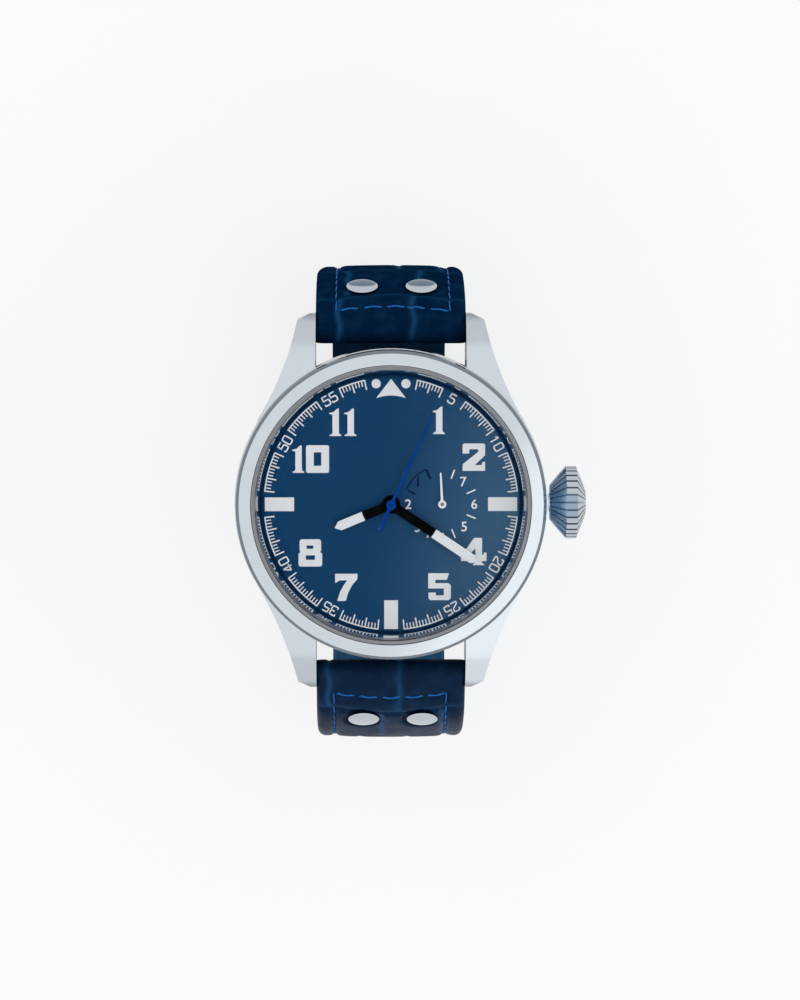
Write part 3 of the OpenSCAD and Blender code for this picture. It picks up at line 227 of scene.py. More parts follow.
def leather_grain():
    """Pores and wrinkles of leather, as a height, and a mask of its worn high spots."""
    graph, given, out = shared_effect(
        "Leather grain", {"Pores per metre": 2200.0, "Wrinkle scale": 500.0}, ("Height", "Wear")
    )
    sway_inputs = {"Vector": given["Position"], "Scale": given["Wrinkle scale"]}
    sway = graph.node("ShaderNodeTexNoise", sway_inputs).outputs
    shift = graph.vector("MULTIPLY", sway["Color"], (0.7 * MM, 0.7 * MM, 0.7 * MM))
    bent = graph.vector("ADD", given["Position"], shift)
    pore_inputs = {"Vector": bent, "Scale": given["Pores per metre"]}
    pores = graph.node("ShaderNodeTexVoronoi", pore_inputs, feature="DISTANCE_TO_EDGE")
    cells = graph.ramp(pores.outputs["Distance"], 0.0, 0.22, smooth=True)
    wrinkles = graph.maths("MULTIPLY", sway["Fac"], 0.8)
    graph.feed(out["Height"], graph.maths("ADD", cells, wrinkles))
    graph.feed(out["Wear"], graph.ramp(sway["Fac"], 0.45, 0.75))
    return graph.tree


MARKS = handling_marks()
TURNED = turned_finish()
BRUSHED = straight_brushing()
GRAIN = leather_grain()


# Finishes

STEEL_LOW = (0.47, 0.51, 0.555)
STEEL_HIGH = (0.52, 0.56, 0.605)
# Painted highlight for the steel to the lower right, and painted shade for its flanks
STEEL_PAINTED_HIGHLIGHT = tuple(1.24 * tone for tone in STEEL_HIGH)
FLANK_PAINTED_SHADE = (0.19, 0.215, 0.245)
NAVY_LOW = (0.0008, 0.0095, 0.031)
NAVY_HIGH = (0.0025, 0.016, 0.045)
# Paler blue of the rubbed lengthwise lines, also used for the painted highlight along one edge of the
# rows
CREASE_RUB_AND_HIGHLIGHT = (0.006, 0.042, 0.11)
HAND_BLACK = (0.0005, 0.0005, 0.0006)
HAND_WHITE = (0.93, 0.96, 0.99)
ARBOR_BRASS = (0.62, 0.44, 0.16)

# The crown's outline: its axis, and its radius at four places along X
CROWN_Z = 7.9
CROWN_FOOT, CROWN_FOOT_R = 23.5, 2.6
CROWN_WIDE, CROWN_WIDE_END, CROWN_R = 25.8, 27.4, 5.35
CROWN_TIP, CROWN_TIP_R = 28.8, 1.7

# The dial is darker from the minute ring to the wall
RIM_FROM = 18.6
RIM_TO = 19.1
# The inner ring is polished below these heights and satin above them
POLISH_TO = 10.42
SATIN_FROM = 10.5
# The glass is ground matt beyond this radius
GROUND_FROM = 20.08


def metal(name, low, high, rough, lines=None, depth=0.01):
    """A metal whose tone and gloss vary a little, with turned or straight lines if asked."""
    finish = Finish(name, Metallic=1.0)
    finish.paint(finish.blend(finish.marks(300.0, *rough), low, high))
    if lines is not None:
        finish.relief(finish.lines(lines), 0.35, depth)
    return finish.made


def moulded(name, low, high, rough, scale=500.0, depth=0.01, **shader_values):
    """A plastic, rubber, printed ink or thread, with a fine tooth and slight unevenness."""
    finish = Finish(name, **shader_values)
    finish.paint(finish.blend(finish.marks(scale, *rough), low, high))
    finish.relief(finish.noise(finish.place, scale * 12.0, 3.0), 0.3, depth)
    return finish.made


def leather(name, low, high, rough, pores, depth, crease=None):
    """Calf leather: pores and wrinkles as relief, paler where worn and along pressed creases, with a
    painted highlight along one edge of the rows.

    Its wax is worn off the 12 o'clock half, so the gloss goes from none there to some at 6.
    """
    finish = Finish(name)
    wax = finish.ramp(finish.at["Y"], 20 * MM, -20 * MM, (0.0, 0.05))
    finish.feed(finish.shader.inputs["Specular IOR Level"], wax)
    grain = finish.effect(GRAIN, Pores_per_metre=pores)
    finish.marks(180.0, *rough)
    tone = finish.blend(grain["Wear"], low, high)
    if crease is not None:
        # The crease attribute carries the rubbed lines and the painted highlight at the rows' edges
        pressed = finish.node(
            "ShaderNodeAttribute", attribute_name="crease", attribute_type="GEOMETRY"
        )
        tone = finish.blend(pressed.outputs["Fac"], tone, crease)
    finish.paint(tone)
    finish.relief(grain["Height"], 0.6, depth)
    return finish.made


def two_tone_hand(name, change_at):
    """A hand lacquered black from its hub to change_at mm, and white beyond."""
    finish = Finish(name, Specular_IOR_Level=0.02)
    radius = finish.off_axis(finish.at["X"], finish.at["Y"])
    beyond = finish.maths("GREATER_THAN", radius, change_at * MM)
    finish.paint(finish.blend(beyond, HAND_BLACK, HAND_WHITE))
    finish.marks(700.0, 0.42, 0.55)
    return finish.made


def arbor_metal(name, tip_tone):
    """Brass under the dial; the tip that shows in the hand's hub has that hand's tone."""
    finish = Finish(name, Metallic=1.0)
    tip = finish.maths("GREATER_THAN", finish.at["Z"], PRINT_LOW * MM)
    finish.paint(finish.blend(tip, ARBOR_BRASS, tip_tone))
    finish.marks(900.0, 0.2, 0.32)
    return finish.made


def flanked_steel(name, lines):
    """Satin steel on what faces up or down, with painted shade on the flanks and a painted highlight
    to the lower right.
    """
    finish = Finish(name, Metallic=1.0)
    # Painted shade: the flanks take a darker colour than what faces up or down
    level = finish.maths("ABSOLUTE", finish.facing()["Z"])
    flat = finish.ramp(level, 0.712, 0.8, smooth=True)
    worn = finish.blend(finish.marks(260.0, 0.12, 0.2), STEEL_LOW, STEEL_HIGH)
    # Painted highlight: the colour grows paler towards the lower right
    along = finish.vector("DOT_PRODUCT", finish.place, (0.85, -0.5, 0.0))
    paler = finish.ramp(along, 9 * MM, 18 * MM, smooth=True)
    finish.paint(finish.blend(flat, FLANK_PAINTED_SHADE, finish.blend(paler, worn, STEEL_PAINTED_HIGHLIGHT)))
    finish.relief(finish.lines(lines), 0.3, 0.008)
    return finish.made


def rivet_steel():
    """Polished steel domes, with a painted dark reflection where they turn towards 12 o'clock."""
    finish = Finish("Rivet steel", Metallic=1.0)
    # Painted dark reflection on the side of each dome that turns towards 12 o'clock
    away = finish.ramp(finish.facing()["Y"], 0.885, 0.915, smooth=True)
    worn = finish.blend(finish.marks(400.0, 0.08, 0.16), STEEL_LOW, STEEL_HIGH)
    finish.paint(finish.blend(away, worn, (0.10, 0.15, 0.21)))
    return finish.made


def crown_steel():
    """Steel, with painted shade down in the flutes, a painted blue reflection on the inner cone and
    painted shade where it faces up.
    """
    finish = Finish("Crown steel", Metallic=1.0)
    at = finish.at
    radius = finish.off_axis(at["Y"], finish.maths("SUBTRACT", at["Z"], CROWN_Z * MM))
    rising = finish.ramp(
        at["X"], CROWN_FOOT * MM, CROWN_WIDE * MM, (CROWN_FOOT_R * MM, CROWN_R * MM)
    )
    falling = finish.ramp(
        at["X"], CROWN_WIDE_END * MM, CROWN_TIP * MM, (CROWN_R * MM, CROWN_TIP_R * MM)
    )
    depth = finish.maths("SUBTRACT", finish.maths("MINIMUM", rising, falling), radius)
    # Painted shade: the colour darkens down in the flutes
    flute = finish.ramp(depth, 0.1 * MM, 0.4 * MM)
    worn = finish.blend(finish.marks(300.0, 0.24, 0.32), STEEL_LOW, STEEL_HIGH)
    flutes_painted_shade = finish.blend(flute, worn, (0.2, 0.26, 0.33))
    # Painted reflection: the inner cone is tinted blue and paler
    inner = finish.maths("LESS_THAN", at["X"], CROWN_WIDE * MM)
    cone_painted_reflection = finish.blend(inner, flutes_painted_shade, (1.15, 1.5, 1.75), "MULTIPLY")
    # Painted shade: darker and bluer where the crown faces up
    top = finish.ramp(finish.facing()["Z"], 0.86, 1.0, smooth=True)
    finish.paint(finish.blend(top, cone_painted_reflection, (0.52, 0.6, 0.68), "MULTIPLY"))
    return finish.made


def dial_lacquer():
    """Blue lacquer with a painted sheen towards 3 o'clock, darker at the rim."""
    finish = Finish("Blue dial", Specular_IOR_Level=0.02)
    # Painted sheen: the lacquer's colour grows lighter towards 3 o'clock
    along = finish.vector("DOT_PRODUCT", finish.place, (0.98, -0.2, 0.0))
    paler = finish.ramp(along, -4 * MM, 26 * MM, smooth=True)
    face = finish.blend(paler, (0.0078, 0.060, 0.158), (0.073, 0.167, 0.295))
    radius = finish.off_axis(finish.at["X"], finish.at["Y"])
    rim = finish.ramp(radius, RIM_FROM * MM, RIM_TO * MM)
    finish.paint(finish.blend(rim, face, (0.0006, 0.021, 0.066)))
    finish.marks(260.0, 0.42, 0.5)
    return finish.made


def ring_metal():
    """Polished at the ring's foot, where the dial shows in it, and satin grey above."""
    finish = Finish("Inner ring", Metallic=1.0)
    satin = finish.ramp(finish.at["Z"], POLISH_TO * MM, SATIN_FROM * MM)
    finish.paint(finish.blend(satin, (0.80, 0.83, 0.86), (0.60, 0.61, 0.62)))
    finish.feed(finish.shader.inputs["Roughness"], finish.ramp(satin, 0.0, 1.0, (0.05, 0.42)))
    finish.relief(finish.lines(9000.0), 0.2, 0.004)
    return finish.made


def glass():
    """Flat sapphire, coated against reflection, with its rim ground matt."""
    finish = Finish(
        "Sapphire", Base_Color=(0.985, 0.99, 0.995), Metallic=0.0, Roughness=0.0, IOR=1.77,
        Transmission_Weight=1.0, Specular_Tint=(0.008, 0.008, 0.008),
    )
    finish.relief(finish.noise(finish.place, 90.0), 0.02, 0.01)
    shadow = finish.node("ShaderNodeLightPath").outputs["Is Shadow Ray"]
    clear = finish.node("ShaderNodeBsdfTransparent").outputs[0]
    pane = finish.layered(shadow, finish.shader.outputs[0], clear)
    radius = finish.off_axis(finish.at["X"], finish.at["Y"])
    rim = finish.maths("GREATER_THAN", radius, GROUND_FROM * MM)
    ground = finish.node("ShaderNodeBsdfPrincipled", {
        "Base Color": (0.21, 0.22, 0.235), "Roughness": 0.55, "Specular IOR Level": 0.1,
    })
    finish.surface(finish.layered(rim, pane, ground.outputs[0]))
    return finish.made


FINISH = {
    "case_steel": flanked_steel("Case steel", (9000.0, 250.0, 9000.0)),
    "polished_steel": metal("Polished steel", STEEL_LOW, STEEL_HIGH, (0.05, 0.11)),
    "bezel_steel": flanked_steel("Bezel steel", 9000.0),
    "crown_steel": crown_steel(),
    "rivet_steel": rivet_steel(),
    "sapphire": glass(),
    "seal_rubber": moulded(
        "Seal rubber", (0.012, 0.012, 0.012), (0.025, 0.025, 0.025), (0.5, 0.65)
    ),
    "white_gasket": moulded("White gasket", (0.24, 0.25, 0.265), (0.3, 0.31, 0.325), (0.4, 0.55)),
    "rehaut_metal": ring_metal(),
    "dial_blue": dial_lacquer(),
    "dial_white": moulded(
        "White print", (0.92, 0.95, 0.98), (0.94, 0.97, 1.0), (0.45, 0.6), Specular_IOR_Level=0.1
    ),
    "hand_blue": metal("Blued hand", (0.001, 0.034, 0.2), (0.002, 0.044, 0.25), (0.25, 0.32)),
    "hand_silver": metal("Silver hand", (0.55, 0.57, 0.6), (0.66, 0.68, 0.7), (0.15, 0.25)),
    "navy_print": moulded(
        "Navy print", (0.0008, 0.012, 0.042), (0.0012, 0.015, 0.05), (0.5, 0.6),
        Specular_IOR_Level=0.02,
    ),
    "movement_plastic": moulded(
        "Movement plastic", (0.03, 0.03, 0.032), (0.045, 0.045, 0.05), (0.35, 0.5)
    ),
    "movement_brass": metal(
        "Bridge plate", (0.55, 0.5, 0.42), (0.62, 0.57, 0.49), (0.2, 0.32), (7000.0, 200.0, 7000.0)
    ),
    "wheel_brass": metal("Wheel brass", ARBOR_BRASS, (0.7, 0.5, 0.2), (0.2, 0.3), 7000.0),
    "pivot_steel": metal("Pivot steel", (0.4, 0.41, 0.43), (0.5, 0.51, 0.53), (0.08, 0.16)),
    "soft_iron": metal("Soft iron", (0.3, 0.3, 0.31), (0.4, 0.4, 0.41), (0.3, 0.42)),
    "magnet": metal("Magnet", (0.16, 0.16, 0.17), (0.22, 0.22, 0.23), (0.28, 0.4)),
    "copper_wire": metal(
        "Copper wire", (0.6, 0.22, 0.1), (0.75, 0.3, 0.15), (0.25, 0.35),
        (12000.0, 300.0, 12000.0), 0.03,
    ),
    "board_green": moulded(
        "Circuit board", (0.006, 0.06, 0.022), (0.01, 0.085, 0.03), (0.3, 0.42)
    ),
    "battery_steel": metal(
        "Battery steel", (0.55, 0.55, 0.55), (0.62, 0.62, 0.62), (0.18, 0.28), 5000.0
    ),
    "strap_leather": leather(
        "Strap leather", NAVY_LOW, NAVY_HIGH, (0.4, 0.52), 2400.0, 0.04, CREASE_RUB_AND_HIGHLIGHT
    ),
    "lining_leather": leather(
        "Lining leather", (0.012, 0.055, 0.125), (0.02, 0.08, 0.165), (0.5, 0.65), 3200.0, 0.03
    ),
    # A darker copy of the lining leather: painted shade on the 12 o'clock half's lining
    "lining_painted_shade": leather(
        "Lining leather in painted shade", (0.002, 0.009, 0.02), (0.003, 0.012, 0.027), (0.5, 0.65), 3200.0,
        0.03,
    ),
    "thread_blue": moulded(
        "Blue thread", (0.005, 0.085, 0.30), (0.01, 0.115, 0.37), (0.5, 0.7), 2500.0, 0.03,
        Specular_IOR_Level=0.1,
    ),
    "buckle_steel": metal("Buckle steel", STEEL_LOW, STEEL_HIGH, (0.07, 0.14)),
    "hour_lacquer": two_tone_hand("Hour hand lacquer", 4.45),
    "minute_lacquer": two_tone_hand("Minute hand lacquer", 7.6),
    "seconds_arbor": arbor_metal("Seconds arbor", (0.001, 0.02, 0.13)),
    "small_arbor": arbor_metal("Small dial arbor", (0.2, 0.2, 0.21)),
}

NODE_FINISH = {
    "case_steel": ("case_middle", "case_back"),
    "bezel_steel": ("bezel",),
    "crown_steel": ("crown",),
    "polished_steel": ("crown_tube",),
    "sapphire": ("crystal",),
    "seal_rubber": ("case_back_gasket", "crown_gasket"),
    "white_gasket": ("crystal_gasket",),
    "dial_blue": ("dial",),
    "dial_white": ("hour_markers",),
    "hour_lacquer": ("hour_hand",),
    "minute_lacquer": ("minute_hand",),
    "hand_blue": ("seconds_hand",),
    "hand_silver": ("subdial_hand",),
    "movement_plastic": ("movement_ring", "main_plate"),
    "movement_brass": ("train_bridge",),
    "board_green": ("circuit_board",),
    "pivot_steel": (
        "stem", "quartz_can", "setting_lever", "bridge_screws", "battery_clip",
        "spring_bar_tubes", "spring_bar_springs", "spring_bar_tip_12_left",
        "spring_bar_tip_12_right", "spring_bar_tip_6_left", "spring_bar_tip_6_right",
    ),
    "soft_iron": ("coil_core", "stator"),
    "copper_wire": ("coil_winding",),
    "magnet": ("rotor",),
    "wheel_brass": (
        "intermediate_wheel", "third_wheel", "centre_wheel", "cannon_pinion", "minute_wheel",
        "hour_wheel", "day_idler",
    ),
    "seconds_arbor": ("seconds_wheel",),
    "small_arbor": ("day_wheel",),
    "battery_steel": ("battery",),
    "buckle_steel": ("buckle_frame", "buckle_bar", "buckle_tang"),
}


def dress_frame():
    """Gives every CAD node that stays its finish."""
    for finish, names in NODE_FINISH.items():
        for name in names:
            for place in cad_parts[name].material_slots:
                place.material = FINISH[finish]


# Meshes


def add_object(name, data):
    """A new object in the scene."""
    made = bpy.data.objects.new(name, data)
    bpy.context.scene.collection.objects.link(made)
    return made


def finished_mesh(holder):
    """The mesh that an object's modifiers or its letter make; the object itself goes."""
    bpy.context.view_layer.update()
    shown = holder.evaluated_get(bpy.context.evaluated_depsgraph_get())
    mesh = bpy.data.meshes.new_from_object(shown)
    holder.modifiers.clear()
    bpy.data.objects.remove(holder)
    return mesh


def plain_mesh(bm, name):
    """A mesh from bm as it is."""
    mesh = bpy.data.meshes.new(name)
    bm.to_mesh(mesh)
    bm.free()
    return mesh


def clean_mesh(bm, name):
    """A mesh from bm, doubles merged and faces outwards."""
    bmesh.ops.remove_doubles(bm, verts=bm.verts, dist=0.0004)
    bmesh.ops.dissolve_degenerate(bm, edges=bm.edges, dist=0.0002)
    bmesh.ops.recalc_face_normals(bm, faces=bm.faces)
    if bm.calc_volume(signed=True) < 0:
        bmesh.ops.reverse_faces(bm, faces=bm.faces)
    return plain_mesh(bm, name)


def piece(name, mesh, finish, body="watch", smooth=False):
    """Puts a mesh made in millimetres into the scene, with its finish and its body."""
    mesh.transform(Matrix.Scale(MM, 4))
    mesh.materials.clear()
    mesh.materials.append(FINISH[finish])
    if smooth:
        mesh.shade_smooth()
    made = add_object(name, mesh)
    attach(made, body)
    return made


def add_plate(bm, loops, low, high):
    """A flat plate between two heights; loops are its outline and then its holes."""
    flat = [Vector((x, y, 0)) for loop in loops for x, y in loop]
    faces = geometry.tessellate_polygon([[Vector((x, y, 0)) for x, y in loop] for loop in loops])
    bottom = [bm.verts.new((p.x, p.y, low)) for p in flat]
    top = [bm.verts.new((p.x, p.y, high)) for p in flat]
    for a, b, c in faces:
        bm.faces.new((top[a], top[b], top[c]))
        bm.faces.new((bottom[c], bottom[b], bottom[a]))
    start = 0
    for loop in loops:
        count = len(loop)
        for i in range(count):
            a, b = start + i, start + (i + 1) % count
            bm.faces.new((bottom[a], bottom[b], top[b], top[a]))
        start += count


def join_rings(bm, rings, closed=True):
    """Faces between neighbouring rings of vertices, and from the last to the first if closed."""
    for i in range(len(rings) if closed else len(rings) - 1):
        here, there = rings[i], rings[(i + 1) % len(rings)]
        for k in range(len(here)):
            n = (k + 1) % len(here)
            bm.faces.new((here[k], here[n], there[n], there[k]))


def rounded(points, radius, closed=True, steps=3):
    """The outline with its corners rounded."""
    out = []
    for i, point in enumerate(points):
        here = Vector(point)
        if not closed and i in (0, len(points) - 1):
            out.append(tuple(here))
            continue
        before = Vector(points[i - 1]) - here
        after = Vector(points[(i + 1) % len(points)]) - here
        reach = min(radius, before.length * 0.45, after.length * 0.45)
        a = here + before.normalized() * reach
        b = here + after.normalized() * reach
        for k in range(steps + 1):
            t = k / steps
            out.append(tuple(a.lerp(here, t).lerp(here.lerp(b, t), t)))
    return out


def add_ribbon(bm, points, width, closed=False, over=0.0):
    """A thin printed line along points, with mitred corners."""
    count = len(points)
    low, high = PRINT_LOW, PRINT_HIGH + over
    rows = []
    for i, point in enumerate(points):
        here = Vector(point)
        first = second = None
        if closed or i > 0:
            first = (here - Vector(points[i - 1])).normalized()
        if closed or i < count - 1:
            second = (Vector(points[(i + 1) % count]) - here).normalized()
        first, second = first or second, second or first
        along = (first + second).normalized()
        across = Vector((-along.y, along.x))
        stretch = 1 / max(0.5, abs(across.dot(Vector((-first.y, first.x)))))
        offset = across * width / 2 * stretch
        rows.append([
            bm.verts.new((*(here + side * offset), z))
            for side, z in ((1, low), (-1, low), (-1, high), (1, high))
        ])
    join_rings(bm, rows, closed)
    if not closed:
        bm.faces.new(rows[0])
        bm.faces.new(rows[-1][::-1])


def on_dial(angle, radius):
    """A place on the dial; the angle is clockwise from 12, in degrees."""
    a = math.radians(angle)
    return radius * math.sin(a), radius * math.cos(a)


def turned_to(points, angle, radius):
    """Points drawn upright about (0, 0), set at radius with their tops outwards."""
    cx, cy = on_dial(angle, radius)
    a = math.radians(angle)
    return [
        (cx + x * math.cos(a) + y * math.sin(a), cy - x * math.sin(a) + y * math.cos(a))
        for x, y in points
    ]


# What repeats


def repeat_tree(name, shape, shape_inputs):
    """A Geometry Nodes tree that sets one small shape on each vertex of a mesh.

    Each vertex carries its turn in "lay" and its size in "size".
    """
    tree = bpy.data.node_groups.new(name, "GeometryNodeTree")
    face = tree.interface
    face.new_socket("Places", in_out="INPUT", socket_type="NodeSocketGeometry")
    face.new_socket("Size", in_out="INPUT", socket_type="NodeSocketFloat").default_value = 1.0
    face.new_socket("Finish", in_out="INPUT", socket_type="NodeSocketMaterial")
    face.new_socket("Pieces", in_out="OUTPUT", socket_type="NodeSocketGeometry")
    graph = Graph(tree)
    given = graph.node("NodeGroupInput").outputs
    lay, size = (
        graph.node("GeometryNodeInputNamedAttribute", {"Name": label}, data_type="FLOAT_VECTOR")
        for label in ("lay", "size")
    )
    scale_inputs = {0: size.outputs["Attribute"], "Scale": given["Size"]}
    placed = graph.node("GeometryNodeInstanceOnPoints", {
        "Points": given["Places"],
        "Instance": graph.node(shape, shape_inputs).outputs["Mesh"],
        "Rotation": graph.node(
            "FunctionNodeEulerToRotation", {"Euler": lay.outputs["Attribute"]}
        ).outputs["Rotation"],
        "Scale": graph.node("ShaderNodeVectorMath", scale_inputs, operation="SCALE").outputs[0],
    })
    real = graph.node("GeometryNodeRealizeInstances", {"Geometry": placed.outputs[0]})
    finished = graph.node(
        "GeometryNodeSetMaterial", {"Geometry": real.outputs[0], "Material": given["Finish"]}
    )
    graph.node("NodeGroupOutput", {"Pieces": finished.outputs[0]})
    return tree


BAR_TREE = repeat_tree("Printed strokes", "GeometryNodeMeshCube", {"Size": (1.0, 1.0, 1.0)})
BEAD_TREE = repeat_tree(
    "Stitches", "GeometryNodeMeshUVSphere", {"Segments": 8, "Rings": 6, "Radius": 0.5}
)
DOME_TREE = repeat_tree(
    "Rivet domes", "GeometryNodeMeshUVSphere", {"Segments": 48, "Rings": 24, "Radius": 0.5}
)


def repeated(name, tree, places, finish, smooth=False):
    """One piece with a small shape at each place: (point, turn, size), in mm and radians."""
    mesh = bpy.data.meshes.new(name)
    mesh.from_pydata([point for point, turn, size in places], [], [])
    for label, column in (("lay", 1), ("size", 2)):
        values = mesh.attributes.new(label, "FLOAT_VECTOR", "POINT").data
        for i, place in enumerate(places):
            values[i].vector = place[column]
    holder = add_object(name + "_places", mesh)
    modifier = holder.modifiers.new("Repeat", "NODES")
    modifier.node_group = tree
    for item in tree.interface.items_tree:
        if item.in_out == "INPUT" and item.name == "Finish":
            modifier[item.identifier] = FINISH[finish]
    plain = finished_mesh(holder)
    plain.name = name
    for label in ("lay", "size"):
        if label in plain.attributes:
            plain.attributes.remove(plain.attributes[label])
    return piece(name, plain, finish, smooth=smooth)


# Print on the dial

# First and last minute of each group of ticks
TRACK_GROUPS = [(2, 4)] + [(first, first + 3) for first in range(6, 52, 5)] + [(56, 58)]
TRACK_R = 18.71
TICK_LOW = 17.28
SHORT_LOW = 17.85
TICK_W = 0.2
SHORT_W = 0.8 * TICK_W
RING_W = 0.9 * TICK_W
TICKS_A_MINUTE = 4
# Degrees in a minute, in a step of the ring, and of the ring before its first tick
MINUTE_A = 6
RING_STEP_A = 0.5
RING_BEFORE_A = 0.3


def stroke(angle, radius, width, length, across=0.0):
    """Where a printed stroke goes that points outwards at that angle, for repeated()."""
    x, y = on_dial(angle, radius)
    turn = (0.0, 0.0, -math.radians(angle))
    return (across + x, y, PRINT_MIDDLE), turn, (width, length, PRINT_THICK)


def minute_track():
    """The minute ticks and the thin ring that joins each group of them."""
    ticks = []
    bm = bmesh.new()
    for first, last in TRACK_GROUPS:
        for k in range((last - first) * TICKS_A_MINUTE + 1):
            low, width = (SHORT_LOW, SHORT_W) if k % TICKS_A_MINUTE else (TICK_LOW, TICK_W)
            angle = (first + k / TICKS_A_MINUTE) * MINUTE_A
            ticks.append(stroke(angle, (low + TRACK_R) / 2, width, TRACK_R - low))
        start = first * MINUTE_A
        steps = int((last - first) * MINUTE_A / RING_STEP_A) + 2
        ring = [
            on_dial(start + k * RING_STEP_A - RING_BEFORE_A, TRACK_R) for k in range(steps)
        ]
        add_ribbon(bm, ring, RING_W, over=PRINT_OVER)
    repeated("minute_ticks", BAR_TREE, ticks, "dial_white")
    piece("minute_ring", clean_mesh(bm, "minute_ring"), "dial_white")


# Strokes of the thin, square numerals, each with whether it closes, in a box THIN_BOX wide, 1 high
THIN_BOX = 0.62
THIN_STROKES = {
    "0": [([(0, 0), (0.62, 0), (0.62, 1), (0, 1)], True)],
    "1": [([(0.05, 0.72), (0.3, 1), (0.3, 0)], False)],
    "2": [([(0, 0.72), (0, 1), (0.62, 1), (0.62, 0.62), (0, 0.22), (0, 0), (0.64, 0)], False)],
    "3": [
        ([(0, 0.8), (0, 1), (0.62, 1), (0.62, 0.53), (0.2, 0.53)], False),
        ([(0.5, 0.53), (0.62, 0.5), (0.62, 0), (0, 0), (0, 0.22)], False),
    ],
    "4": [([(0.42, 0), (0.42, 1), (0, 0.35), (0, 0.25), (0.66, 0.25)], False)],
    "5": [
        ([(0.6, 1), (0.0, 1)], False),
        ([(0.03, 1.07), (0.0, 0.5)], False),
        ([(0.0, 0.57), (0.62, 0.57), (0.62, 0), (0, 0), (0, 0.2)], False),
    ],
}
THIN_HEIGHT = 1.38
THIN_W = 0.21
THIN_CORNER = 0.18
THIN_STEP = 1.2
THIN_R = 17.97


def minute_numbers():
    """The five-minute numbers between the groups of the track."""
    bm = bmesh.new()
    for minute in (5, 10, 20, 25, 35, 40, 50, 55):
        digits = str(minute)
        for place, digit in enumerate(digits):
            shift = (place - (len(digits) - 1) / 2) * THIN_STEP
            for points, closed in THIN_STROKES[digit]:
                line = [
                    ((x - THIN_BOX / 2) * THIN_HEIGHT + shift, (y - 0.5) * THIN_HEIGHT)
                    for x, y in rounded(points, THIN_CORNER, closed)
                ]
                add_ribbon(bm, turned_to(line, minute * MINUTE_A, THIN_R), THIN_W, closed)
    piece("minute_numbers", clean_mesh(bm, "minute_numbers"), "dial_white")


SMALL_X = 7.45
SMALL_HEIGHT = 1.44
# Name, numeral, angle and distance from the small dial's middle
SMALL_DIGITS = (
    ("seven", "7", 44, 4.62), ("six", "6", 90, 4.83), ("five", "5", 135, 4.72),
    ("four", "4", 180, 4.95), ("three", "3", 226, 4.95), ("two", "2", 270, 4.92),
)
SMALL_DASHES = (20.5, 67, 113, 158, 203)
SMALL_DASH_R = 4.73
SMALL_DASH_W = 0.2
SMALL_DASH_LONG = 1.42
# The dark arc: its radius, its width, where it starts and how many degrees it runs
ARC_R = 5.62
ARC_W = 0.18
ARC_FROM_A = -67
ARC_A = 43
ARC_STEPS = 21
# Ends of the short dark lines inside the arc, from the small dial's middle, and their widths
ARC_LINES = (
    ((-4.98, 2.06), (-3.82, 1.46), 0.26),
    ((-3.48, 4.0), (-3.48, 2.53), 0.26),
    ((-2.28, 5.13), (-1.66, 3.72), 0.34),
)


def small_numeral(name, digit, angle, out):
    """One upright numeral of the small dial, about its own middle."""
    curve = bpy.data.curves.new("numeral_" + name, "FONT")
    curve.body = digit
    curve.size = 2.0
    curve.offset = 0.02
    curve.extrude = PRINT_THICK / 2
    mesh = finished_mesh(add_object("numeral_" + name, curve))
    xs = [v.co.x for v in mesh.vertices]
    ys = [v.co.y for v in mesh.vertices]
    mid_x, mid_y = (min(xs) + max(xs)) / 2, (min(ys) + max(ys)) / 2
    scale = SMALL_HEIGHT / (max(ys) - min(ys))
    x, y = on_dial(angle, out)
    for v in mesh.vertices:
        v.co = (
            SMALL_X + x + (v.co.x - mid_x) * scale, y + (v.co.y - mid_y) * scale,
            PRINT_MIDDLE + v.co.z,
        )
    bm = bmesh.new()
    bm.from_mesh(mesh)
    bpy.data.meshes.remove(mesh)
    piece("small_dial_" + name, clean_mesh(bm, "small_dial_" + name), "dial_white")


def small_dial():
    """The small dial's numerals, dashes and dark arc."""
    for row in SMALL_DIGITS:
        small_numeral(*row)
    dashes = [
        stroke(angle, SMALL_DASH_R, SMALL_DASH_W, SMALL_DASH_LONG, SMALL_X)
        for angle in SMALL_DASHES
    ]
    repeated("small_dial_dashes", BAR_TREE, dashes, "dial_white")
    bm = bmesh.new()
    arc = [on_dial(ARC_FROM_A + ARC_A * k / ARC_STEPS, ARC_R) for k in range(ARC_STEPS + 1)]
    add_ribbon(bm, [(SMALL_X + x, y) for x, y in arc], ARC_W)
    for start, end, width in ARC_LINES:
        add_ribbon(bm, [(SMALL_X + x, y) for x, y in (start, end)], width, over=PRINT_OVER)
    piece("small_dial_arc", clean_mesh(bm, "small_dial_arc"), "navy_print")


# Radius and height at each corner of the inner ring's section
RING_HIGH = 10.9
RING_OUT = 20.88
RING_SECTION = (
    (19.3, PRINT_LOW), (20.06, RING_HIGH), (RING_OUT, RING_HIGH), (RING_OUT, PRINT_LOW),
)
RING_STEPS = 256


def inner_ring():
    """The sloped ring between dial and bezel."""
    bm = bmesh.new()
    rings = []
    for k in range(RING_STEPS):
        a = 2 * math.pi * k / RING_STEPS
        rings.append([bm.verts.new((r * math.cos(a), r * math.sin(a), z)) for r, z in RING_SECTION])
    join_rings(bm, rings)
    ring = piece("inner_ring", clean_mesh(bm, "inner_ring"), "rehaut_metal")
    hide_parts("rehaut")


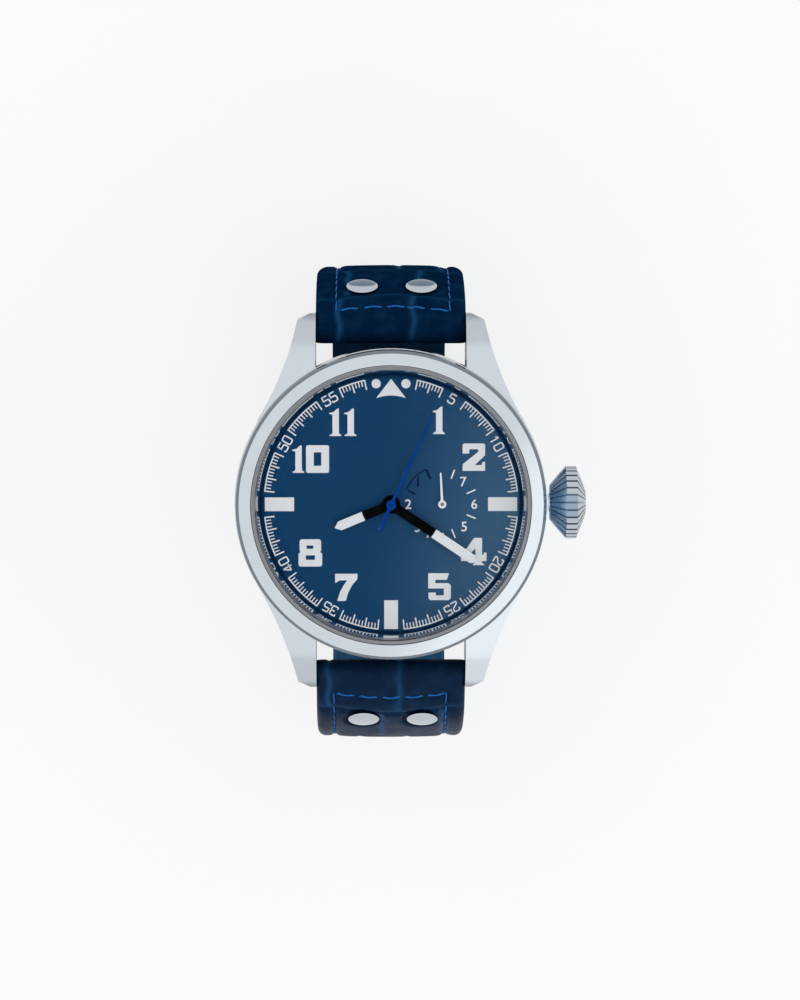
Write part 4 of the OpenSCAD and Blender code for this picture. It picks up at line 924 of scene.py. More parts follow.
# Outlines of the large numerals: x to the right and y down from the top left, in mm
NUMERALS = {
    "1": [[(0.95, 0.04), (0.8, 0), (0.53, 0.18), (0.2, 0.5), (-0.1, 0.6), (-0.5, 0.68),
           (-0.48, 0.8), (0, 0.95), (0, 3.6), (-0.08, 3.75), (-0.42, 3.9), (-0.42, 4.06),
           (1.31, 4.06), (1.31, 3.9), (1.03, 3.75), (0.95, 3.6)]],
    "2": [[(0.2, 0), (3.12, 0), (3.32, 0.2), (3.32, 1.75), (1.80, 3.18), (2.80, 3.18),
           (2.95, 2.70), (3.32, 2.70), (3.32, 4.03), (0, 4.03), (0.03, 3.05), (2.35, 1.20),
           (2.25, 0.85), (0.98, 0.85), (0.98, 1.48), (0, 1.48), (0, 0.2)]],
    "4": [[(1.96, 0), (3.13, 0), (3.13, 2.52), (3.36, 2.52), (3.4, 2.15), (3.8, 2.15),
           (3.8, 3.43), (3.13, 3.43), (3.05, 3.62), (3.47, 3.90), (3.47, 4.03), (1.80, 4.03),
           (1.80, 3.90), (2.2, 3.62), (2.15, 3.43), (0.05, 3.43), (0, 2.75)],
          [(2.15, 1.55), (2.15, 2.56), (1.2, 2.56)]],
    "5": [[(0, 0), (3.09, 0), (2.75, 0.98), (1.06, 0.98), (1.06, 1.47), (3.0, 1.47),
           (3.35, 1.78), (3.35, 3.7), (3.08, 3.99), (0.28, 3.99), (0.04, 3.7), (0.04, 2.86),
           (1.13, 2.86), (1.13, 3.29), (2.32, 3.29), (2.32, 2.26), (0, 2.26)]],
    "7": [[(0, 0), (3.32, 0), (3.29, 0.8), (2.58, 1.6), (1.95, 2.75), (1.58, 4.03),
           (0.3, 4.03), (0.75, 2.65), (1.3, 1.65), (1.77, 0.98), (0.62, 0.98), (0.1, 1.36),
           (0, 1.3)]],
    "8": [[(0.16, 0.2), (0.4, 0), (3.1, 0), (3.33, 0.25), (3.33, 1.6), (3.2, 1.93),
           (3.49, 2.1), (3.49, 3.8), (3.25, 4.03), (0.22, 4.03), (0, 3.8), (0, 2.1),
           (0.28, 1.93), (0.16, 1.6)],
          [(1.18, 0.92), (2.2, 0.92), (2.2, 1.41), (1.18, 1.41)],
          [(1.07, 2.37), (2.42, 2.37), (2.42, 3.04), (1.07, 3.04)]],
    "0": [[(0, 0), (3.39, 0), (3.39, 4.07), (0, 4.07)],
          [(1.145, 1.04), (2.245, 1.04), (2.245, 3.03), (1.145, 3.03)]],
}
# Numeral, then where its left edge and its top are on the dial
NUMERAL_PLACES = [
    ("1", -8.62, 14.19), ("1", -6.41, 14.19), ("1", -14.09, 8.75), ("0", -12.52, 8.75),
    ("1", 6.61, 14.47), ("2", 10.53, 8.99), ("8", -13.66, -5.20), ("7", -8.27, -10.34),
    ("4", 10.31, -5.02), ("5", 5.49, -10.27),
]
# The outlines' heights are as seen from the camera, which leans back by this cosine
LEAN_COSINE = 0.9936
NUMERAL_CORNER = 0.08
ZERO_CORNER = 0.3


def hour_numerals():
    """The raised hour numerals, with softened corners."""
    bm = bmesh.new()
    for digit, left, top in NUMERAL_PLACES:
        loops = []
        for k, loop in enumerate(NUMERALS[digit]):
            points = [(left + x, top - y / LEAN_COSINE) for x, y in loop]
            loops.append(rounded(points, ZERO_CORNER if digit == "0" and k == 0 else NUMERAL_CORNER))
        add_plate(bm, loops, PRINT_LOW, RAISED_HIGH)
    made = piece("applied_numerals", clean_mesh(bm, "applied_numerals"), "dial_white")
    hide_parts("hour_numerals")


# The strap's line


class Route:
    """A line of arcs and straights in the YZ plane, walked as part.scad walks it.

    A step is (radius, degrees), or (length, 0) for a straight.
    """

    def __init__(self, start, steps):
        self.start = start
        self.steps = steps
        self.length = sum(self.step_length(step) for step in steps)

    @staticmethod
    def step_length(step):
        return step[0] if step[1] == 0 else step[0] * abs(math.radians(step[1]))

    @staticmethod
    def walk(place, step, part):
        """Where that share of a step leads: y, z and heading."""
        y, z, heading = place
        reach, turn = step
        if turn == 0:
            length = reach * part
            return y + length * math.cos(heading), z + length * math.sin(heading), heading
        bend = math.copysign(reach, turn)
        turned = heading + math.radians(turn) * part
        return (
            y - bend * math.sin(heading) + bend * math.sin(turned),
            z + bend * math.cos(heading) - bend * math.cos(turned),
            turned,
        )

    def place(self, s):
        """Where the line is after s mm, and its heading."""
        here = self.start
        for step in self.steps:
            length = self.step_length(step)
            if s <= length:
                return self.walk(here, step, s / length)
            here = self.walk(here, step, 1)
            s -= length
        y, z, heading = here
        return y + s * math.cos(heading), z + s * math.sin(heading), heading

    def end(self):
        here = self.start
        for step in self.steps:
            here = self.walk(here, step, 1)
        return here


# Spring bars, and how far from their axis the leather runs round them
BAR_Y = 25.9
BAR_Z = 5.2
BAR_LOOP_R = 2.1
# The buckle's bar, and the leather's radius round it
BUCKLE_Y = 1.0
BUCKLE_Z = -37.5
LOOP_R = 1.7
FLOOR_Z = -42.9
STRAP_START = (BAR_Y, BAR_Z + BAR_LOOP_R, 0.0)
SHOULDER_12, FLANK_12 = (5.6, -66), (37.5, -54)
SHOULDER_6, FLANK_6 = (8.4, -58), (36, -62)
CORNER_A = 60
# The long half climbs over the buckle at two heights, each by two arcs of these radii
RISE_END = 9.6
RISE_R = 6
RISE_Z = -40.8
RAIL_FLAT = 3
DROP_R = 5
DROP_Z = -41.7
# How much wider the long half's tail turns than the short half under it
TAIL_OUT = 2.5
TAIL_A = 6
# The pin's hole lies this far past the foot of the rail's flat
PIN_PAST = 3.2


def corner_radius(start, steps, low):
    """The radius that takes the line from the end of steps down to low through CORNER_A."""
    return (Route(start, steps).end()[1] - low) / (1 - math.cos(math.radians(CORNER_A)))


def s_bend_angle(drop, radius):
    """The degrees of each of two opposite arcs that lead drop mm sideways."""
    return math.degrees(math.acos(1 - drop / (2 * radius)))


def strap_routes():
    """The outer faces of both halves; the long half is in the mirror of the Y axis."""
    first = [SHOULDER_12, FLANK_12]
    corner_12 = corner_radius(STRAP_START, first, BUCKLE_Z - LOOP_R)
    first.append((corner_12, -CORNER_A))
    corner_12_end = Route(STRAP_START, first).end()[0]
    short = Route(STRAP_START, first + [(corner_12_end - BUCKLE_Y, 0)])
    second = [SHOULDER_6, FLANK_6]
    corner_6 = corner_radius(STRAP_START, second, FLOOR_Z)
    second.append((corner_6, -CORNER_A))
    corner_6_end = Route(STRAP_START, second).end()[0]
    rise = s_bend_angle(RISE_Z - FLOOR_Z, RISE_R)
    drop = s_bend_angle(RISE_Z - DROP_Z, DROP_R)
    foot = corner_6_end - RISE_END - 2 * RISE_R * math.sin(math.radians(rise))
    back = corner_12_end + RISE_END - RAIL_FLAT - 2 * DROP_R * math.sin(math.radians(drop))
    climb = [(foot, 0), (RISE_R, -rise), (RISE_R, rise)]
    rail = [(RAIL_FLAT, 0), (DROP_R, drop), (DROP_R, -drop), (back, 0)]
    tail = [(corner_12 + TAIL_OUT, -CORNER_A), (FLANK_12[0] + TAIL_OUT, -TAIL_A)]
    to_rail = Route(STRAP_START, second + climb).length
    return short, Route(STRAP_START, second + climb + rail + tail), to_rail + RAIL_FLAT + PIN_PAST


SHORT, LONG, PIN_HOLE_S = strap_routes()
# Place along each half and its thickness there
THICK_SHORT = [(0, 4.2), (6, 4.8), (18, 4.8), (44, 2.8), (300, 2.8)]
THICK_LONG = [(0, 4.2), (6, 4.8), (18, 4.8), (48, 2.4), (400, 2.4)]
LINING_T = 0.9
# Half the strap's width at the lugs and how much of it goes, between two heights
WIDE_HALF = 11.1
TAPER = 2.1
TAPER_FROM = -9
TAPER_LONG = 20


def looked_up(s, table):
    """A value between the rows of a table of (place, value)."""
    for (a, low), (b, high) in zip(table, table[1:]):
        if s <= b:
            return low + (high - low) * max(0, s - a) / (b - a)
    return table[-1][1]


def half_width(z):
    """Half the strap's width, which narrows from the lugs down to the buckle."""
    return WIDE_HALF - TAPER * min(1, max(0, (TAPER_FROM - z) / TAPER_LONG))


def smooth_step(low, high, x):
    """0 below low and 1 above high, smooth between them."""
    t = min(1, max(0, (x - low) / (high - low)))
    return t * t * (3 - 2 * t)


def channel(distance, reach):
    """The cross-section of a pressed line, 1 in its middle."""
    return math.exp(-((distance / reach) ** 2))


def sunk(y, z, heading, depth):
    """The place that depth mm under the outer face."""
    return y + depth * math.sin(heading), z - depth * math.cos(heading)


# The lengthwise stitch line at the lugs, and how much of the strap's narrowing it follows
STITCH_X = 8.4
STITCH_FOLLOWS = 0.6
# The row of stitches across: its place, its bow, and how fast and how far out it bends
STITCH_S0 = 3.4
SEAM_BOW = 0.65
SEAM_BEND = 0.19
SEAM_WIDE = 8
# How fast and how far out a pressed row bends
ROW_BEND = 0.21
ROW_WIDE = 7.5


def stitch_x(width):
    """Where the lengthwise stitch line runs on a strap of that half width."""
    return STITCH_X - STITCH_FOLLOWS * (WIDE_HALF - width)


def seam_at(x):
    """Where the row of stitches across the strap runs, bowed towards the lugs at its ends."""
    return STITCH_S0 - SEAM_BOW * (1 - math.cos(min(abs(x), SEAM_WIDE) * SEAM_BEND))


def row_bow(x):
    """How much of a pressed row's arch is left at x."""
    return math.cos(min(abs(x), ROW_WIDE) * ROW_BEND)


# The strap's halves

# The pressed lines: their depth, and the half width of those across and of those lengthwise
EMBOSS_DEPTH = 0.3
ROW_REACH = 0.38
COLUMN_REACH = 0.42
# The lengthwise ones: their depth as a share, and how far and how often they sway
COLUMN_SHARE = 0.9
COLUMN_SWAY = 0.2
COLUMN_WAVES = 1.3
# The least and the most of what is drawn at random, and where the last column may start
ROW_PITCH = (9.5, 12.5)
ROW_ARCH = (0.2, 1.0)
COLUMN_FIRST = (-8.5, -4)
COLUMN_PITCH = (6.0, 9.5)
COLUMN_LAST = 5
# Farther from a line than any line reaches
FAR = 9.0
# The pattern fades in from the edge, stays clear of the seams, and is fainter for a stretch
EMBOSS_EDGE = (0.3, 1.4)
SEAM_CLEAR = 0.6
FAINT_IN = (8.5, 11)
FAINT_OUT = (20, 24)
FAINT_BY = 0.75
# The rubbed tone: how much the lines across take away, and where and how bright the painted highlight
# along one edge of them is
ROW_DARK = 1.15
ROW_EDGE = 0.5
ROW_EDGE_HIGHLIGHT = 0.4
RIVET_R = 2.35
RIVET_X = 4.4
# How far along the 12 o'clock half and the long half the rivets sit
RIVET_S = {1: 8.25, -1: 8.8}
# The dimple round a rivet, how much deeper it is where the strap is pushed out, and its rim
RIVET_DIMPLE = 0.42
DIMPLE_PUFF = 0.6
DIMPLE_RIM = (RIVET_R + 0.1, RIVET_R + 0.65)
# The grooves for the stitches, along and across
GROOVE_DEPTH = 0.42
GROOVE_REACH = 0.42
GROOVE_START = (2.6, 3.4)
CROSS_DEPTH = 0.34
CROSS_REACH = 0.4
CROSS_PAST = 0.4
# The outer face: its edge, its fall to the stitch line, its bow across and its lug end
EDGE_R = 1.25
ROLL_DEPTH = 0.1
ROLL_WIDE = 2.2
BOW_DEPTH = 0.15
SHOULDER_DEPTH = 0.3
SHOULDER_FADE = (2.4, 4.2)
LUG_END = (-1.5, 2.0)
LUG_EDGE = 0.12
# Where the padding fades out, and where the pushed-out part does
PAD_FADE = (40, 50)
PUFF_FADE = (22, 44)
# The lining starts here, and stops short of the tail and of the buckle
LINED_FROM = 0.2
TAIL_BARE = 1
BUCKLE_BARE = 4
# The free tip's length, and the two powers of its outline
TIP_LONG = 9.5
TIP_BLUNT = 2.4
TIP_ROUND = 0.55


def tip_factor(s, length):
    """The strap's width near its free tip, as a share: a blunt point."""
    part = min(1, max(0, (s - (length - TIP_LONG)) / TIP_LONG))
    return (1 - part ** TIP_BLUNT) ** TIP_ROUND


class Half:
    """One half of the strap: its line, its thickness and its pressed scale pattern.

    The pattern is rows of wide, soft-cornered plates. The sign is -1 for the long half, which
    is drawn in the mirror of the Y axis. A row is its place and its arch, a column its x.
    """

    def __init__(self, sign, route, thick, seed, first_row, columns, seam_shift, puff, sag,
                 cross_stitches):
        draw = random.Random(seed)
        self.sign = sign
        self.route = route
        self.thick = thick
        self.seam_shift = seam_shift
        self.puff = puff
        self.sag = sag
        self.cross_stitches = cross_stitches
        self.lined_to = route.length - (BUCKLE_BARE if sign > 0 else TAIL_BARE)
        self.rivet_s = RIVET_S[sign] - puff / 2
        self.rows = [first_row]
        self.columns = columns
        while self.rows[-1][0] < route.length:
            row_s = self.rows[-1][0] + draw.uniform(*ROW_PITCH)
            self.rows.append((row_s, draw.uniform(*ROW_ARCH)))
        while len(self.columns) < len(self.rows) + 1:
            row = [draw.uniform(*COLUMN_FIRST)]
            while row[-1] < COLUMN_LAST:
                row.append(row[-1] + draw.uniform(*COLUMN_PITCH))
            self.columns.append(row)

    def pushed_out(self, s):
        """How far the padded part stands out beyond the plain strap, away from the case."""
        return self.puff * (1 - smooth_step(*PUFF_FADE, s))

    def place(self, s):
        """Where the outer face is after s mm, and its heading."""
        y, z, heading = self.route.place(s)
        return y + self.pushed_out(s), z, heading

    def width(self, s):
        """Half the strap's width after s mm, which closes at the long half's free tip."""
        tip = tip_factor(s, self.route.length) if self.sign < 0 else 1
        return half_width(self.route.place(s)[1]) * tip

    def across_rows(self, s, x):
        """How deep in a row's line a point lies, from 0 to 1."""
        return max(channel(s - row - arch * row_bow(x), ROW_REACH) for row, arch in self.rows)

    def crease(self, s, x):
        """How deep in any pressed line a point lies, from 0 to 1."""
        index = 0
        nearest = FAR
        for k, (row, arch) in enumerate(self.rows):
            gap = s - row - arch * row_bow(x)
            nearest = min(nearest, abs(gap))
            if gap > 0:
                index = k + 1
        off_columns = [
            abs(x - c + COLUMN_SWAY * math.sin(s * COLUMN_WAVES + c)) for c in self.columns[index]
        ]
        lengthwise = COLUMN_SHARE * channel(min(off_columns, default=FAR), COLUMN_REACH)
        return max(channel(nearest, ROW_REACH), lengthwise)

    def tone(self, s, x):
        """How pale the leather is rubbed along the lengthwise lines, with a painted highlight along
        one edge of the rows.
        """
        lengthwise = self.crease(s, x) - ROW_DARK * self.across_rows(s, x)
        # The second term is a painted highlight along one edge of each row
        return max(0.0, lengthwise) + ROW_EDGE_HIGHLIGHT * self.across_rows(s + ROW_EDGE, x)

    def relief(self, s, x, edge, off_seam, padded):
        """How deep the pressed pattern lies at a point."""
        depth = EMBOSS_DEPTH * self.crease(s, x) * smooth_step(*EMBOSS_EDGE, edge)
        depth *= 1 - channel(off_seam, SEAM_CLEAR) * padded
        return depth * (1 - FAINT_BY * smooth_step(*FAINT_IN, s) * (1 - smooth_step(*FAINT_OUT, s)))

    def drop(self, s, x, width):
        """How far the visible face lies below the strap's outer line at a point."""
        edge = width - abs(x)
        line = stitch_x(width)
        off_seam = abs(x - self.seam_shift) - line
        padded = 1 - smooth_step(*PAD_FADE, s)
        begun = smooth_step(*LUG_END, s)
        roll = ROLL_DEPTH * smooth_step(line - ROLL_WIDE, line, abs(x)) * padded
        bow = BOW_DEPTH * (min(abs(x), line) / line) ** 2 * padded
        side = 0
        if edge < EDGE_R:
            side = EDGE_R - math.sqrt(max(0, EDGE_R ** 2 - (EDGE_R - edge) ** 2))
        starts = smooth_step(*GROOVE_START, s)
        groove = GROOVE_DEPTH * channel(off_seam, GROOVE_REACH) * starts * padded
        if off_seam < CROSS_PAST:
            groove = max(groove, CROSS_DEPTH * channel(s - seam_at(x), CROSS_REACH))
        shoulder = SHOULDER_DEPTH * (1 - smooth_step(*SHOULDER_FADE, s))
        off_rivet = math.hypot(abs(x) - RIVET_X, s - self.rivet_s)
        pressed = 1 - smooth_step(*DIMPLE_RIM, off_rivet)
        dimple = (RIVET_DIMPLE + DIMPLE_PUFF * self.puff) * pressed
        face = max(roll + bow + groove, shoulder, dimple) * begun
        relief = self.relief(s, x, edge, off_seam, padded) * (1 - pressed)
        return side * min(1, LUG_EDGE + begun) + face + relief


HALF_12 = Half(
    1, SHORT, THICK_SHORT, 12, (5.35, 0.95), [[-7.7, 3.3], [-6.3, 4.4]], 0.32, 0.0, 0.4,
    (-6.15, -2.65, 0.75, 3.7, 7.2),
)
HALF_6 = Half(
    -1, LONG, THICK_LONG, 6, (5.6, 1.0), [[-9.3, 1.26], [-1.3, 7.6]], -0.12, 0.5, 0.33,
    (-6.8, -3.4, 0.06, 3.5, 6.86),
)

# Half the width of the slot for the buckle's pin, as a length and as a share of the strap's
TANG_SLOT = 1.1
SLOT_PLACE = TANG_SLOT / (WIDE_HALF - TAPER)
# How far the slot in the long half reaches along and through it, each way
SLOT_REACH = 3.1
SLOT_THROUGH = 5
# The slot in the 12 o'clock half, round the buckle's bar, is where both of these hold
SLOT_BELOW_Z = -30
SLOT_FRONT = 2.2
# Steps of the turn round each bar, and along the padded and the plain part
BAR_STEPS = 13
BUCKLE_STEPS = 12
FINE_STEP = 0.34
FINE_TO = 52
PLAIN_STEP = 0.6
# Steps across, as shares of the half width: how near to a line or to the edge, and the step
ACROSS_STEPS = ((0.06, 0.011), (0.13, 0.018), (1.0, 0.03))
# The lining is a little narrower, just clear of the outer leather, and thin at its edge
LINING_SHARE = 0.985
LINING_CLEAR = 0.01
LINING_EDGE = 0.45
LINING_THINS = 0.8
# The most that the face drops round the spring bar, and the least thickness and half width
BAR_DROP = 1.0
LEAST_T = 0.3
LEAST_HALF = 2.0
# The face is smooth for this length before the buckle's bar; round the bar its edge is thinner
BUCKLE_SMOOTH = 6
BUCKLE_EDGE_FROM = 0.93
BUCKLE_EDGE_THIN = 0.25
# Where the inner corners by the two bars lie
CORNER_GAP = 0.05
CORNER_SHARE = 0.999
BUCKLE_GAP = 0.02
BUCKLE_DEEP = 2.8


def lateral_places():
    """Places across half the strap, closer together at the edge and at the stitch line."""
    line = stitch_x(WIDE_HALF) / WIDE_HALF
    marks = [0.0, SLOT_PLACE / 2, SLOT_PLACE]
    while marks[-1] < 1:
        near = min(abs(marks[-1] - line), abs(marks[-1] - 1))
        marks.append(marks[-1] + next(step for reach, step in ACROSS_STEPS if near < reach))
    marks[-1] = 1.0
    return marks


def places_along(length):
    """Places along one half, closer together where it is padded."""
    stops = [0.0]
    while stops[-1] < length:
        stops.append(stops[-1] + (FINE_STEP if stops[-1] < FINE_TO else PLAIN_STEP))
    stops[-1] = length
    return stops


def round_bar(half, u):
    """The leather's turn round the spring bar: its outer and inner points, and its tones."""
    top, low, tones = [], [], []
    for k in range(BAR_STEPS):
        a = math.pi - math.pi * k / BAR_STEPS
        before = -BAR_LOOP_R * a
        y = BAR_Y - (BAR_LOOP_R + half.sag) * math.sin(a) + half.pushed_out(0)
        z = BAR_Z + BAR_LOOP_R * math.cos(a)
        x = u * half_width(z)
        drop = min(half.drop(before, x, half_width(z)), BAR_DROP)
        top.append((x, y + drop * math.sin(a), z - drop * math.cos(a)))
        low.append((x * CORNER_SHARE, BAR_Y - CORNER_GAP, BAR_Z - BAR_LOOP_R + CORNER_GAP))
        tones.append(half.tone(before, x))
    return top, low, tones


def leather_run(half, u, stops):
    """The outer leather and its padding along the strap: points and tones, as round_bar."""
    top, low, tones = [], [], []
    for s in stops:
        y, z, heading = half.place(s)
        width = half.width(s)
        x = u * width
        deep = looked_up(s, half.thick)
        if LINED_FROM < s < half.lined_to:
            deep -= LINING_T
        drop = half.drop(s, x, max(width, LEAST_HALF))
        if half is HALF_12 and s > half.route.length - BUCKLE_SMOOTH:
            drop *= smooth_step(0, BUCKLE_SMOOTH, half.route.length - s)
        top.append((x, *sunk(y, z, heading, min(drop, deep - LEAST_T))))
        low.append((x, *sunk(y, z, heading, deep)))
        tones.append(half.tone(s, x))
    return top, low, tones


def lining_run(half, u, stops):
    """The lining along the strap: its outer and inner points, without tones."""
    top, low = [], []
    for s in stops:
        if s > half.lined_to:
            break
        y, z, heading = half.place(s)
        width = half.width(s)
        x = u * width
        t = looked_up(s, half.thick)
        edge = max(0, LINING_EDGE - (width - abs(x)))
        top.append((x * LINING_SHARE, *sunk(y, z, heading, t - LINING_T + LINING_CLEAR)))
        low.append((x * LINING_SHARE, *sunk(y, z, heading, t - edge * LINING_THINS)))
    return top, low, []


def round_buckle(u):
    """The leather's turn round the buckle's bar: its points, without tones."""
    top, low = [], []
    past = max(0, abs(u) - BUCKLE_EDGE_FROM) / (1 - BUCKLE_EDGE_FROM)
    reach = LOOP_R - BUCKLE_EDGE_THIN * past
    x = u * half_width(BUCKLE_Z)
    for k in range(1, BUCKLE_STEPS + 1):
        a = -math.pi / 2 - math.pi * k / BUCKLE_STEPS
        top.append((x, BUCKLE_Y + reach * math.cos(a), BUCKLE_Z + reach * math.sin(a)))
        low.append((x, BUCKLE_Y + BUCKLE_GAP, BUCKLE_Z - LOOP_R + BUCKLE_DEEP))
    return top, low, []


def strap_half(name, half, outer):
    """The outer leather with its padding inside, or the lining, of one strap half.

    Slices lie side by side across the strap. Each is a closed outline in the YZ plane. The
    outer leather of the 12 o'clock half goes on round the buckle's bar.
    """
    looped = outer and half is HALF_12
    shares = lateral_places()
    across = [-u for u in shares[::-1]] + shares[1:]
    stops = places_along(half.route.length)
    bm = bmesh.new()
    pressed = bm.verts.layers.float.new("crease")
    slices = []
    for u in across:
        parts = [lining_run(half, u, stops)]
        if outer:
            parts = [round_bar(half, u), leather_run(half, u, stops)]
        if looped:
            parts.append(round_buckle(u))
        top, low, tones = (sum(lists, []) for lists in zip(*parts))
        rows = [[bm.verts.new((x, half.sign * y, z)) for x, y, z in row] for row in (top, low)]
        for vert, tone in zip(rows[0], tones):
            vert[pressed] = tone
        slices.append(rows)
    count = len(slices[0][0])

    def leather_at(i, k):
        """Whether there is leather between slices i and i + 1, past place k along them."""
        if not (0 <= i < len(slices) - 1 and 0 <= k < count - 1):
            return False
        if not looped or abs(across[i] + across[i + 1]) / 2 > SLOT_PLACE:
            return True
        corner = slices[i][0][k].co
        return corner.z > SLOT_BELOW_Z or corner.y > BUCKLE_Y + SLOT_FRONT

    for i in range(len(slices) - 1):
        (top_a, low_a), (top_b, low_b) = slices[i], slices[i + 1]
        for k in range(count - 1):
            if not leather_at(i, k):
                continue
            bm.faces.new((top_a[k], top_a[k + 1], top_b[k + 1], top_b[k]))
            bm.faces.new((low_a[k], low_b[k], low_b[k + 1], low_a[k + 1]))
            if not leather_at(i - 1, k):
                bm.faces.new((top_a[k], low_a[k], low_a[k + 1], top_a[k + 1]))
            if not leather_at(i + 1, k):
                bm.faces.new((top_b[k], top_b[k + 1], low_b[k + 1], low_b[k]))
            if not leather_at(i, k - 1):
                bm.faces.new((top_a[k], top_b[k], low_b[k], low_a[k]))
            if not leather_at(i, k + 1):
                bm.faces.new((top_a[k + 1], low_a[k + 1], low_b[k + 1], top_b[k + 1]))
    return clean_mesh(bm, name)


def cut_by(mesh, cutters):
    """The mesh with closed cutter meshes taken out of it, all in millimetres."""
    body = add_object("to_cut", mesh)
    tools = [add_object("cutter", cutter) for cutter in cutters]
    for tool in tools:
        modifier = body.modifiers.new("Cut", "BOOLEAN")
        modifier.operation = "DIFFERENCE"
        modifier.solver = "EXACT"
        modifier.object = tool
    done = finished_mesh(body)
    for tool in tools:
        bpy.data.objects.remove(tool)
    return done


HOLE_R = 1.1
HOLE_PITCH = 6.5
HOLES = (-3, -2, -1, 1, 2, 3)


def punch(s):
    """A round cutter through the long half at that distance along it."""
    y, z, heading = LONG.place(s)
    bm = bmesh.new()
    bmesh.ops.create_cone(
        bm, cap_ends=True, segments=24, radius1=HOLE_R, radius2=HOLE_R, depth=9
    )
    turn = Euler((heading, 0, 0)).to_matrix()
    bmesh.ops.rotate(bm, cent=(0, 0, 0), matrix=turn, verts=bm.verts)
    bmesh.ops.translate(bm, vec=(0, y, z), verts=bm.verts)
    bmesh.ops.scale(bm, vec=(1, -1, 1), verts=bm.verts)
    bmesh.ops.recalc_face_normals(bm, faces=bm.faces)
    return plain_mesh(bm, "punch")


def long_half_cutters():
    """The round holes on both sides of the buckle's pin, and the slot for the pin itself."""
    y, z, heading = LONG.place(PIN_HOLE_S)
    bm = bmesh.new()
    bmesh.ops.create_cube(bm, size=1.0)
    size = (2 * TANG_SLOT, 2 * SLOT_REACH, 2 * SLOT_THROUGH)
    bmesh.ops.scale(bm, vec=size, verts=bm.verts)
    bmesh.ops.translate(bm, vec=(0, -y, z), verts=bm.verts)
    return [punch(PIN_HOLE_S + k * HOLE_PITCH) for k in HOLES] + [plain_mesh(bm, "slot")]


def strap_piece(name, half, outer, finish):
    """One leather of one half, with the long half's holes and slot cut through it."""
    mesh = strap_half(name, half, outer)
    if half is HALF_6:
        mesh = cut_by(mesh, long_half_cutters())
    return piece(name, mesh, finish, smooth=True)


def strap():
    """Both halves of the strap: padded outer leather and lining."""
    made = strap_piece("outer_leather_12", HALF_12, True, "strap_leather")
    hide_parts("strap_leather_12", "strap_padding_12")
    # The 12 o'clock half's lining takes the lining leather in painted shade
    made = strap_piece("lining_12", HALF_12, False, "lining_painted_shade")
    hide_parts("strap_lining_12")
    made = strap_piece("outer_leather_6", HALF_6, True, "strap_leather")
    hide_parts("strap_leather_6", "strap_padding_6")
    made = strap_piece("lining_6", HALF_6, False, "lining_leather")
    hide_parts("strap_lining_6")


# Stitches along the sides: first and last place, step, size, lean and rise above the groove
SIDE_FROM = 3.7
SIDE_TO = 44
SIDE_STEP = 2.5
SIDE_SIZE = (0.25, 2.3, 0.3)
SIDE_LEAN = 0.06
SIDE_RISE = 0.06
# A stitch across is a row of short beads at these places, bowed, and highest in its middle
BEADS = (-1.05, -0.7, -0.35, 0, 0.35, 0.7, 1.05)
BEAD_SIZE = (0.24, 0.66, 0.28)
BEAD_BEND = 1.4
BEAD_TURN = 0.24
BEAD_BOW = 0.16
BEAD_BACK = 0.1
BEAD_RISE = 0.03
BEAD_LIFT = 0.06


def stitching():
    """Blue stitches in the grooves: along both sides and across behind the lugs."""
    places = []

    def lay_stitch(half, s, x, turn, size, rise):
        y, z, heading = half.place(s)
        y, z = sunk(y, z, heading, half.drop(s, x, half_width(z)) - rise)
        lay = Matrix.Rotation(half.sign * heading, 3, "X")
        lay = lay @ Matrix.Rotation(half.sign * turn, 3, "Z")
        places.append(((x, half.sign * y, z), tuple(lay.to_euler()), size))

    for half in (HALF_12, HALF_6):
        s = SIDE_FROM
        while s <= SIDE_TO:
            line = stitch_x(half_width(half.route.place(s)[1]))
            for side in (-1, 1):
                x = side * line + half.seam_shift
                lay_stitch(half, s, x, SIDE_LEAN * side, SIDE_SIZE, SIDE_RISE)
            s += SIDE_STEP
        for middle in half.cross_stitches:
            for part in BEADS:
                bow = math.cos(part * BEAD_BEND)
                turn = math.pi / 2 + BEAD_TURN * math.sin(part * BEAD_BEND)
                s = seam_at(middle + part) + BEAD_BOW * bow - BEAD_BACK
                rise = BEAD_RISE + BEAD_LIFT * bow
                lay_stitch(half, s, middle + part, turn, BEAD_SIZE, rise)
    made = repeated("blue_stitches", BEAD_TREE, places, "thread_blue", smooth=True)
    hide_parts("stitching")


# Each rivet's dome and washer: lift off the leather, half its height, radius
RIVET_DOME = (0.12, 0.42, RIVET_R)
WASHER = (-4.72, 0.18, 1.6)
# How far the domes sit to the right of their washers and how much further out, by half
DOME_PLACES = ((HALF_12, 0.17, -0.08), (HALF_6, 0.34, 0.12))


def rivets():
    """Four low steel domes, each with its washer on the lining."""
    places = []
    for half, shift, out in DOME_PLACES:
        y, z, heading = half.route.place(RIVET_S[half.sign])
        for side in (-1, 1):
            for (lift, rise, radius), moved, extra in (
                (RIVET_DOME, shift, out), (WASHER, 0.0, 0.0)
            ):
                at_y, at_z = sunk(y, z, heading, -(lift + extra))
                places.append((
                    (side * RIVET_X + moved, half.sign * at_y, at_z),
                    (half.sign * heading, 0.0, 0.0),
                    (2 * radius, 2 * radius, 2 * rise),
                ))
    made = repeated("rivet_heads", DOME_TREE, places, "rivet_steel", smooth=True)
    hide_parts("rivets")


# Keepers

KEEPER_WALL = 1.1
KEEPER_HALF = 9.85
KEEPER_LONG = 3.0
KEEPER_CORNER = 1.3
# The longest step round the frame
KEEPER_STEP = 1.2
# The wall's edge and its pressed line: places and lengths are shares of half its length
KEEPER_EDGE_FROM = 0.88
KEEPER_EDGE = 0.12
KEEPER_EDGE_THINS = 0.75
KEEPER_GROOVE = 0.1
KEEPER_GROOVE_AT = 0.8
KEEPER_GROOVE_REACH = 0.05
